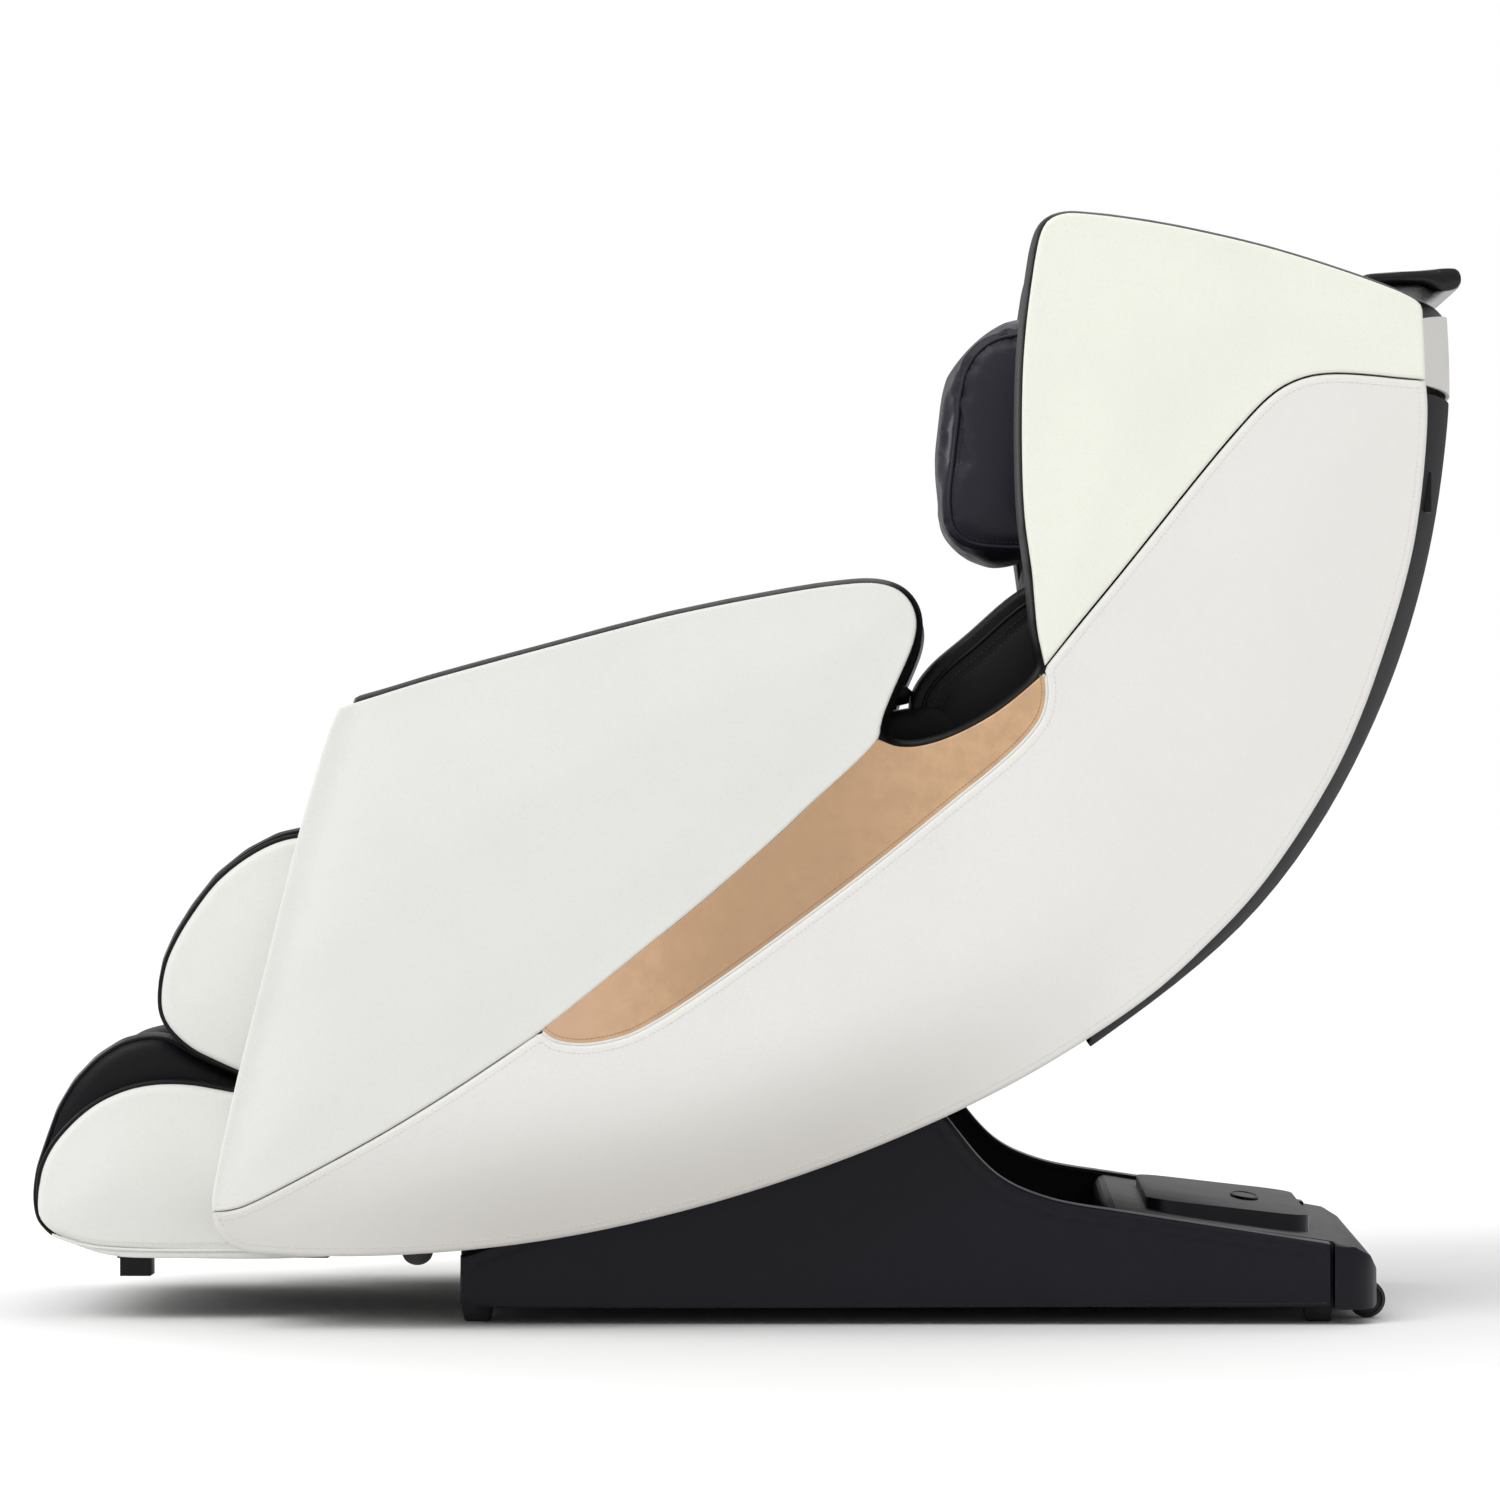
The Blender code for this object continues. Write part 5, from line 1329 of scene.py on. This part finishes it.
def foot_sole():
    """The sole plate with its slide rods, under an ivory cover that is piped along its upper edge."""
    plate = finished_copy("foot_frame", finish(black_plastic), 0.0015)
    for vert in plate.data.vertices:
        if vert.co.y < -0.680 and vert.co.z > 0.060:
            vert.co.y = max(vert.co.y, -0.6785)  # keeps the plate's front behind the cover
    give(plate, "foot_frame")
    panel_low, panel_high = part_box("foot_panel_left")
    half, top = panel_high.x - 0.002, panel_low.z + 0.001
    front, rear = panel_low.y + 0.018, panel_high.y - 0.006
    under = [Vector(p) for p in (
        (front, top + 0.0165), (front + 0.022, top + 0.0045), (front + 0.060, top - 0.0075),
        (front + 0.150, top - 0.0108), (rear - 0.060, top - 0.0112), (rear, top - 0.0085))]
    over = [Vector((rear, top)), Vector((front + 0.070, top)), Vector((front + 0.026, top + 0.009))]
    outline = turned_left([*evenly(curve_through(under), 0.006), *over])
    sole = covered(remeshed(prism(outline, -half, half), 0.003, 3, "sole_cover"), ivory_leather)
    give(sole, "foot_frame", stands_for=False)
    welt = [Vector((front - 0.001, top + 0.0150)), Vector((front + 0.028, top + 0.0050)),
            Vector((front + 0.075, top - 0.0005)), Vector((rear, top - 0.0010))]
    rows = []
    for word, side in SIDES:
        line = [Vector((side * (half + 0.0008), p.x, p.y)) for p in evenly(curve_through(welt), 0.006)]
        cord = tube(f"sole_piping_{word}", line, 0.0016, finish(ivory_leather))
        give(cord, "foot_frame", stands_for=False)
        rows.append([p + Vector((side * 0.0030, 0.0, 0.0075)) for p in line])
    give(stitches("sole_stitches", rows, finish(ivory_thread)), "foot_frame", stands_for=False)


class Legrest(bpy.types.Operator):
    """Make the calf cushions and the legrest's side panels"""

    bl_idname = "massage_chair.legrest"
    bl_label = "Legrest"

    def execute(self, context):
        leg_cushion("calf", 0.0365, 0.030, 0.005)
        for word, side in SIDES:
            leg_panels("calf", word, side, 0.008)
        return {"FINISHED"}


class FootUnit(bpy.types.Operator):
    """Make the boots' cushions, side panels and sole"""

    bl_idname = "massage_chair.foot_unit"
    bl_label = "Foot unit"

    def execute(self, context):
        leg_cushion("foot", 0.0465, 0.040, 0.004)
        foot_sole()
        for word, side in SIDES:
            leg_panels("foot", word, side, 0.010)
        return {"FINISHED"}


# ---- Base ---------------------------------------------------------------------------------------------------
def base_side(word, side):
    """The moulded side cover with a bead along its top edge and a groove along its foot."""
    node = f"base_side_cover_{word}"
    low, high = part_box(node)
    inner, outer = near_and_far(low, high, side)
    loop = flowing(sections(node, outer - side * 0.010)[0], 0.005, 30)

    def ridge(place, middle, width):
        return np.exp(-(((place - middle) / width) ** 2))

    def bead(points, depth):
        height = points[:, 1] - low.z
        near_top = 1 / (1 + np.exp(-(height - 0.040) / 0.004))
        lip = 0.0020 * ridge(depth, 0.0050, 0.0030) - 0.0016 * ridge(depth, 0.0112, 0.0020)
        groove = -0.0011 * ridge(height, 0.0085, 0.0012)
        return lip * near_top + groove * (1 - near_top)

    cover = Panel(loop, outer, inner, 0.0022, 0.0, 0.02, bead)
    give(cover.build(f"{node}_shell", finish(charcoal_plastic), step=0.006, wall=0.004), node)


def base_details():
    lid = finished_copy("base_rear_cover", finish(charcoal_plastic), 0.0022)
    lid.data.materials.append(finish(slate_plastic))
    for face in lid.data.polygons:
        face.material_index = int(face.normal.z > 0.35)
    give(lid, "base_rear_cover")
    lid_recess()
    give(finished_copy("base_frame", finish(powder_coat)), "base_frame")
    for place in ("front", "rear"):
        for word, _ in SIDES:
            node = f"foot_{place}_{word}"
            give(finished_copy(node, finish(rubber), 0.001, name=f"rubber_{node}"), node)
    give(finished_copy("power_socket", finish(black_plastic), 0.0006), "power_socket")
    give(finished_copy("power_switch", finish(black_plastic), 0.0004), "power_switch")
    give(finished_copy("power_supply", finish(powder_coat), 0.002), "power_supply")


def lid_recess():
    """An oval finger recess with a rim on the lid's raised block."""
    low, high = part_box("base_rear_cover")
    lean, centre = math.radians(-6.5), Vector((0.0, 0.544, high.z - 0.0112))
    turn = Matrix.Translation(centre) @ Matrix.Rotation(lean, 4, "X")
    oval = [turn @ Vector((0.047 * math.cos(a), 0.0145 * math.sin(a), 0.0002))
            for a in [2 * math.pi * k / 64 for k in range(64)]]
    rim = tube("lid_recess_rim", oval, 0.0013, finish(slate_plastic), closed=True)
    give(rim, "base_rear_cover", stands_for=False)
    bm = bmesh.new()
    bmesh.ops.create_uvsphere(bm, u_segments=48, v_segments=12, radius=1.0,
                              matrix=turn @ Matrix.Diagonal((0.0462, 0.0138, 0.0008, 1.0)))
    floor = from_bmesh("lid_recess_floor", bm, finish(black_plastic), sharp=80)
    give(floor, "base_rear_cover", stands_for=False)


def wheels():
    for word, _ in SIDES:
        node = f"transport_wheel_{word}"
        low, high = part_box(node)
        centre, radius, half = (low + high) / 2, (high.z - low.z) / 2, (high.x - low.x) / 2
        profile = [(0.0045, half), (0.010, half), (0.0115, half - 0.002), (0.0155, half - 0.002), (0.0165, half)]
        for k in range(5):
            w = half - 0.003 - k * (2 * half - 0.006) / 5
            step = (2 * half - 0.006) / 5
            profile += [(radius, w), (radius, w - step * 0.62), (radius - 0.0013, w - step * 0.70),
                        (radius - 0.0013, w - step * 0.92)]
        profile += [(radius, 0.003 - half), (0.0165, -half), (0.0155, 0.002 - half), (0.0115, 0.002 - half),
                    (0.010, -half), (0.0045, -half)]
        give(turned(f"ribbed_wheel_{word}", centre, profile, finish(rubber)), node)


def shell_bumpers():
    """A rubber bumper under the front of each side shell."""
    for word, side in SIDES:
        low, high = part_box(f"crescent_panel_{word}")
        bm = bmesh.new()
        place = Vector((side * 0.330, -0.347, low.z + 0.001))
        scale = Matrix.LocRotScale(place, None, (0.018, 0.0165, 0.0145))
        bmesh.ops.create_uvsphere(bm, u_segments=28, v_segments=16, radius=1.0, matrix=scale)
        bump = from_bmesh(f"shell_bumper_{word}", bm, finish(rubber), sharp=80)
        give(bump, f"crescent_panel_{word}", stands_for=False)


class Base(bpy.types.Operator):
    """Make the base's covers, feet, wheels and mains inlet"""

    bl_idname = "massage_chair.base"
    bl_label = "Base"

    def execute(self, context):
        for word, side in SIDES:
            base_side(word, side)
        base_details()
        wheels()
        shell_bumpers()
        return {"FINISHED"}


# ---- Rear shell ---------------------------------------------------------------------------------------------
def rear_shell():
    cover = finished_copy("back_cover", finish(rear_shell_plastic), levels=2)
    give(cover, "back_cover")
    for word, side in SIDES:
        spot = laid_on(cover, [Vector((side * 0.322, 1.0, 0.852))], 0.0)[0]
        pocket = rounded_block(f"grip_pocket_{word}", spot - Vector((0.016, 0.008, 0.022)),
                               spot + Vector((0.016, 0.0020, 0.022)), finish(black_plastic), 0.0020)
        give(pocket, "back_cover", stands_for=False)
    give(finished_copy("head_trim", finish(trim_leather), levels=2), "head_trim")
    give(finished_copy("head_cap", finish(black_leather), levels=2), "head_cap")


class RearShell(bpy.types.Operator):
    """Make the rear shell, the pearl head trim and the cap over it"""

    bl_idname = "massage_chair.rear_shell"
    bl_label = "Rear shell"

    def execute(self, context):
        rear_shell()
        return {"FINISHED"}


# ---- Controls -----------------------------------------------------------------------------------------------
def controls():
    give(finished_copy("control_pad", finish(black_plastic), 0.0006), "control_pad")
    for node in ("button_power", "button_recline", "button_massage"):
        give(finished_copy(node, finish(key_plastic), 0.0008), node)


class Controls(bpy.types.Operator):
    """Make the control pad and its keys"""

    bl_idname = "massage_chair.controls"
    bl_label = "Controls"

    def execute(self, context):
        controls()
        return {"FINISHED"}


# ---- Mechanism ----------------------------------------------------------------------------------------------
COATED = ["seat_frame", "back_frame", "tilt_actuator", "legrest_actuator", "massage_carriage", "kneading_arm_left",
          "kneading_arm_right", "calf_frame"]
GROUND = ["tilt_shaft", "drive_screw", "tilt_actuator_rod", "legrest_actuator_rod"]
MOULDED = ["air_pump"]


def mechanism():
    for nodes, maker, slot in ((COATED, powder_coat, "painted_steel"), (GROUND, bright_steel, "painted_steel"),
                               (MOULDED, black_plastic, "black_plastic")):
        for node in nodes:
            give(finished_copy(node, finish(maker), name=f"{node}_part"), node)


def rollers():
    for level in ("upper", "lower"):
        for word, _ in SIDES:
            node = f"massage_roller_{level}_{word}"
            low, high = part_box(node)
            centre, radius, half = (low + high) / 2, (high.z - low.z) / 2, (high.x - low.x) / 2
            arc = [(radius - 0.012 * (1 - math.cos(a)) - 0.002 * abs(math.sin(a)) ** 3, half * math.sin(a) * 0.98)
                   for a in [math.radians(t) for t in range(72, -73, -12)]]
            profile = [(0.0048, half), (0.019, half), *arc, (0.019, -half), (0.0048, -half)]
            give(turned(f"{node}_wheel", centre, profile, finish(black_plastic)), node)


class Mechanism(bpy.types.Operator):
    """Finish the frames, actuators, shaft, screw and massage rollers"""

    bl_idname = "massage_chair.mechanism"
    bl_label = "Mechanism"

    def execute(self, context):
        mechanism()
        rollers()
        return {"FINISHED"}


# ---- Studio -------------------------------------------------------------------------------------------------
FLOOR_RADIUS = 40.0


def studio_floor(colour):
    bm = bmesh.new()
    bmesh.ops.create_circle(bm, cap_ends=True, segments=96, radius=FLOOR_RADIUS)
    made = Finish("studio_floor")
    cloud = made.noise(1.5, 2.0)
    made.set(Base_Color=made.mixed(colour, shade(colour, 0.985), cloud), Roughness=0.9, Specular_IOR_Level=0.0)
    floor = from_bmesh("studio_floor", bm, made.material)


def studio_sky(strength):
    """A white sky that is dimmer towards the horizon than overhead, behind an even white background."""
    world = bpy.data.worlds.new("studio_sky")
    world.use_nodes = True
    tree = world.node_tree
    sky = tree.nodes["Background"]
    way = add_node(tree, "ShaderNodeTexCoord").outputs["Generated"]
    parts = add_node(tree, "ShaderNodeSeparateXYZ", Vector=way)
    overhead = Number(tree, parts.outputs["Z"]).ramp(0.0, 0.8)
    seen = Number(tree, add_node(tree, "ShaderNodeLightPath").outputs["Is Camera Ray"])
    level = strength * (0.62 + 0.38 * overhead)
    connect(tree, sky.inputs["Strength"], level * (1.0 - seen) + 1.0 * seen)
    sky.inputs["Color"].default_value = (1.0, 1.0, 1.0, 1.0)
    return world


def sun_light(name, towards, spread, power):
    """A broad, far light: towards points from the chair to it, and spread is its width in degrees."""
    data = bpy.data.lights.new(name, "SUN")
    data.angle = math.radians(spread)
    data.energy = power
    light = new_object(name, data)
    light.rotation_euler = Vector(towards).to_track_quat("Z", "Y").to_euler()


def area_light(name, place, target, size, power):
    data = bpy.data.lights.new(name, "AREA")
    data.shape = "RECTANGLE"
    data.size, data.size_y = size
    data.energy = power
    light = new_object(name, data)
    light.location = place
    light.rotation_euler = (Vector(target) - Vector(place)).to_track_quat("-Z", "Y").to_euler()


class Studio(bpy.types.Operator):
    """Set up the floor, the soft light and the camera"""

    bl_idname = "massage_chair.studio"
    bl_label = "Studio"

    def execute(self, context):
        scene, studio = context.scene, context.scene.chair_studio
        studio_floor(tuple(studio.floor_colour))
        scene.world = studio_sky(studio.sky_strength)
        middle = (0.0, 0.0, 0.55)
        sun_light("key", (0.62, -0.50, 0.84), 35, 1.31)
        sun_light("fill", (-0.70, 0.15, 0.85), 50, 0.70)
        area_light("edge_right", (-2.6, -2.6, 1.6), middle, (0.6, 2.4), 24)
        camera = bpy.data.cameras.new("camera")
        camera.sensor_width = 36.0
        camera.lens = studio.focal_length
        camera.shift_x = studio.sideways_shift
        seen = new_object("camera", camera)
        seen.location = studio.camera_place
        seen.rotation_euler = (math.pi / 2, 0.0, math.pi / 2)
        scene.camera = seen
        scene.view_settings.view_transform = "Standard"
        return {"FINISHED"}


# ---- Add-on -------------------------------------------------------------------------------------------------
OPERATORS = [SidePieces, Linings, SeatAndBack, Pillow, Legrest, FootUnit, Base, RearShell, Controls, Mechanism,
             Studio]
GROUPS = [("chair_colours", ChairColours), ("chair_sizes", ChairSizes), ("chair_studio", ChairStudio)]


class ChairPanel(bpy.types.Panel):
    """Lists the chair's settings and the steps that make it"""

    bl_idname = "MASSAGE_PT_chair"
    bl_label = "Massage chair"
    bl_space_type = "VIEW_3D"
    bl_region_type = "UI"
    bl_category = "Massage chair"

    def draw(self, context):
        for name, group in GROUPS:
            box = self.layout.box()
            for key in group.__annotations__:
                box.prop(getattr(context.scene, name), key)
        for operator in OPERATORS:
            self.layout.operator(operator.bl_idname)


def register():
    for _, group in GROUPS:
        bpy.utils.register_class(group)
    for operator in [*OPERATORS, ChairPanel]:
        bpy.utils.register_class(operator)
    for name, group in GROUPS:
        setattr(bpy.types.Scene, name, PointerProperty(type=group))


def unregister():
    for name, _ in GROUPS:
        delattr(bpy.types.Scene, name)
    for operator in [ChairPanel, *reversed(OPERATORS)]:
        bpy.utils.unregister_class(operator)
    for _, group in reversed(GROUPS):
        bpy.utils.unregister_class(group)


def main():
    register()
    for operator in OPERATORS:
        group, name = operator.bl_idname.split(".")
        getattr(getattr(bpy.ops, group), name)()


if __name__ == "__main__":
    main()
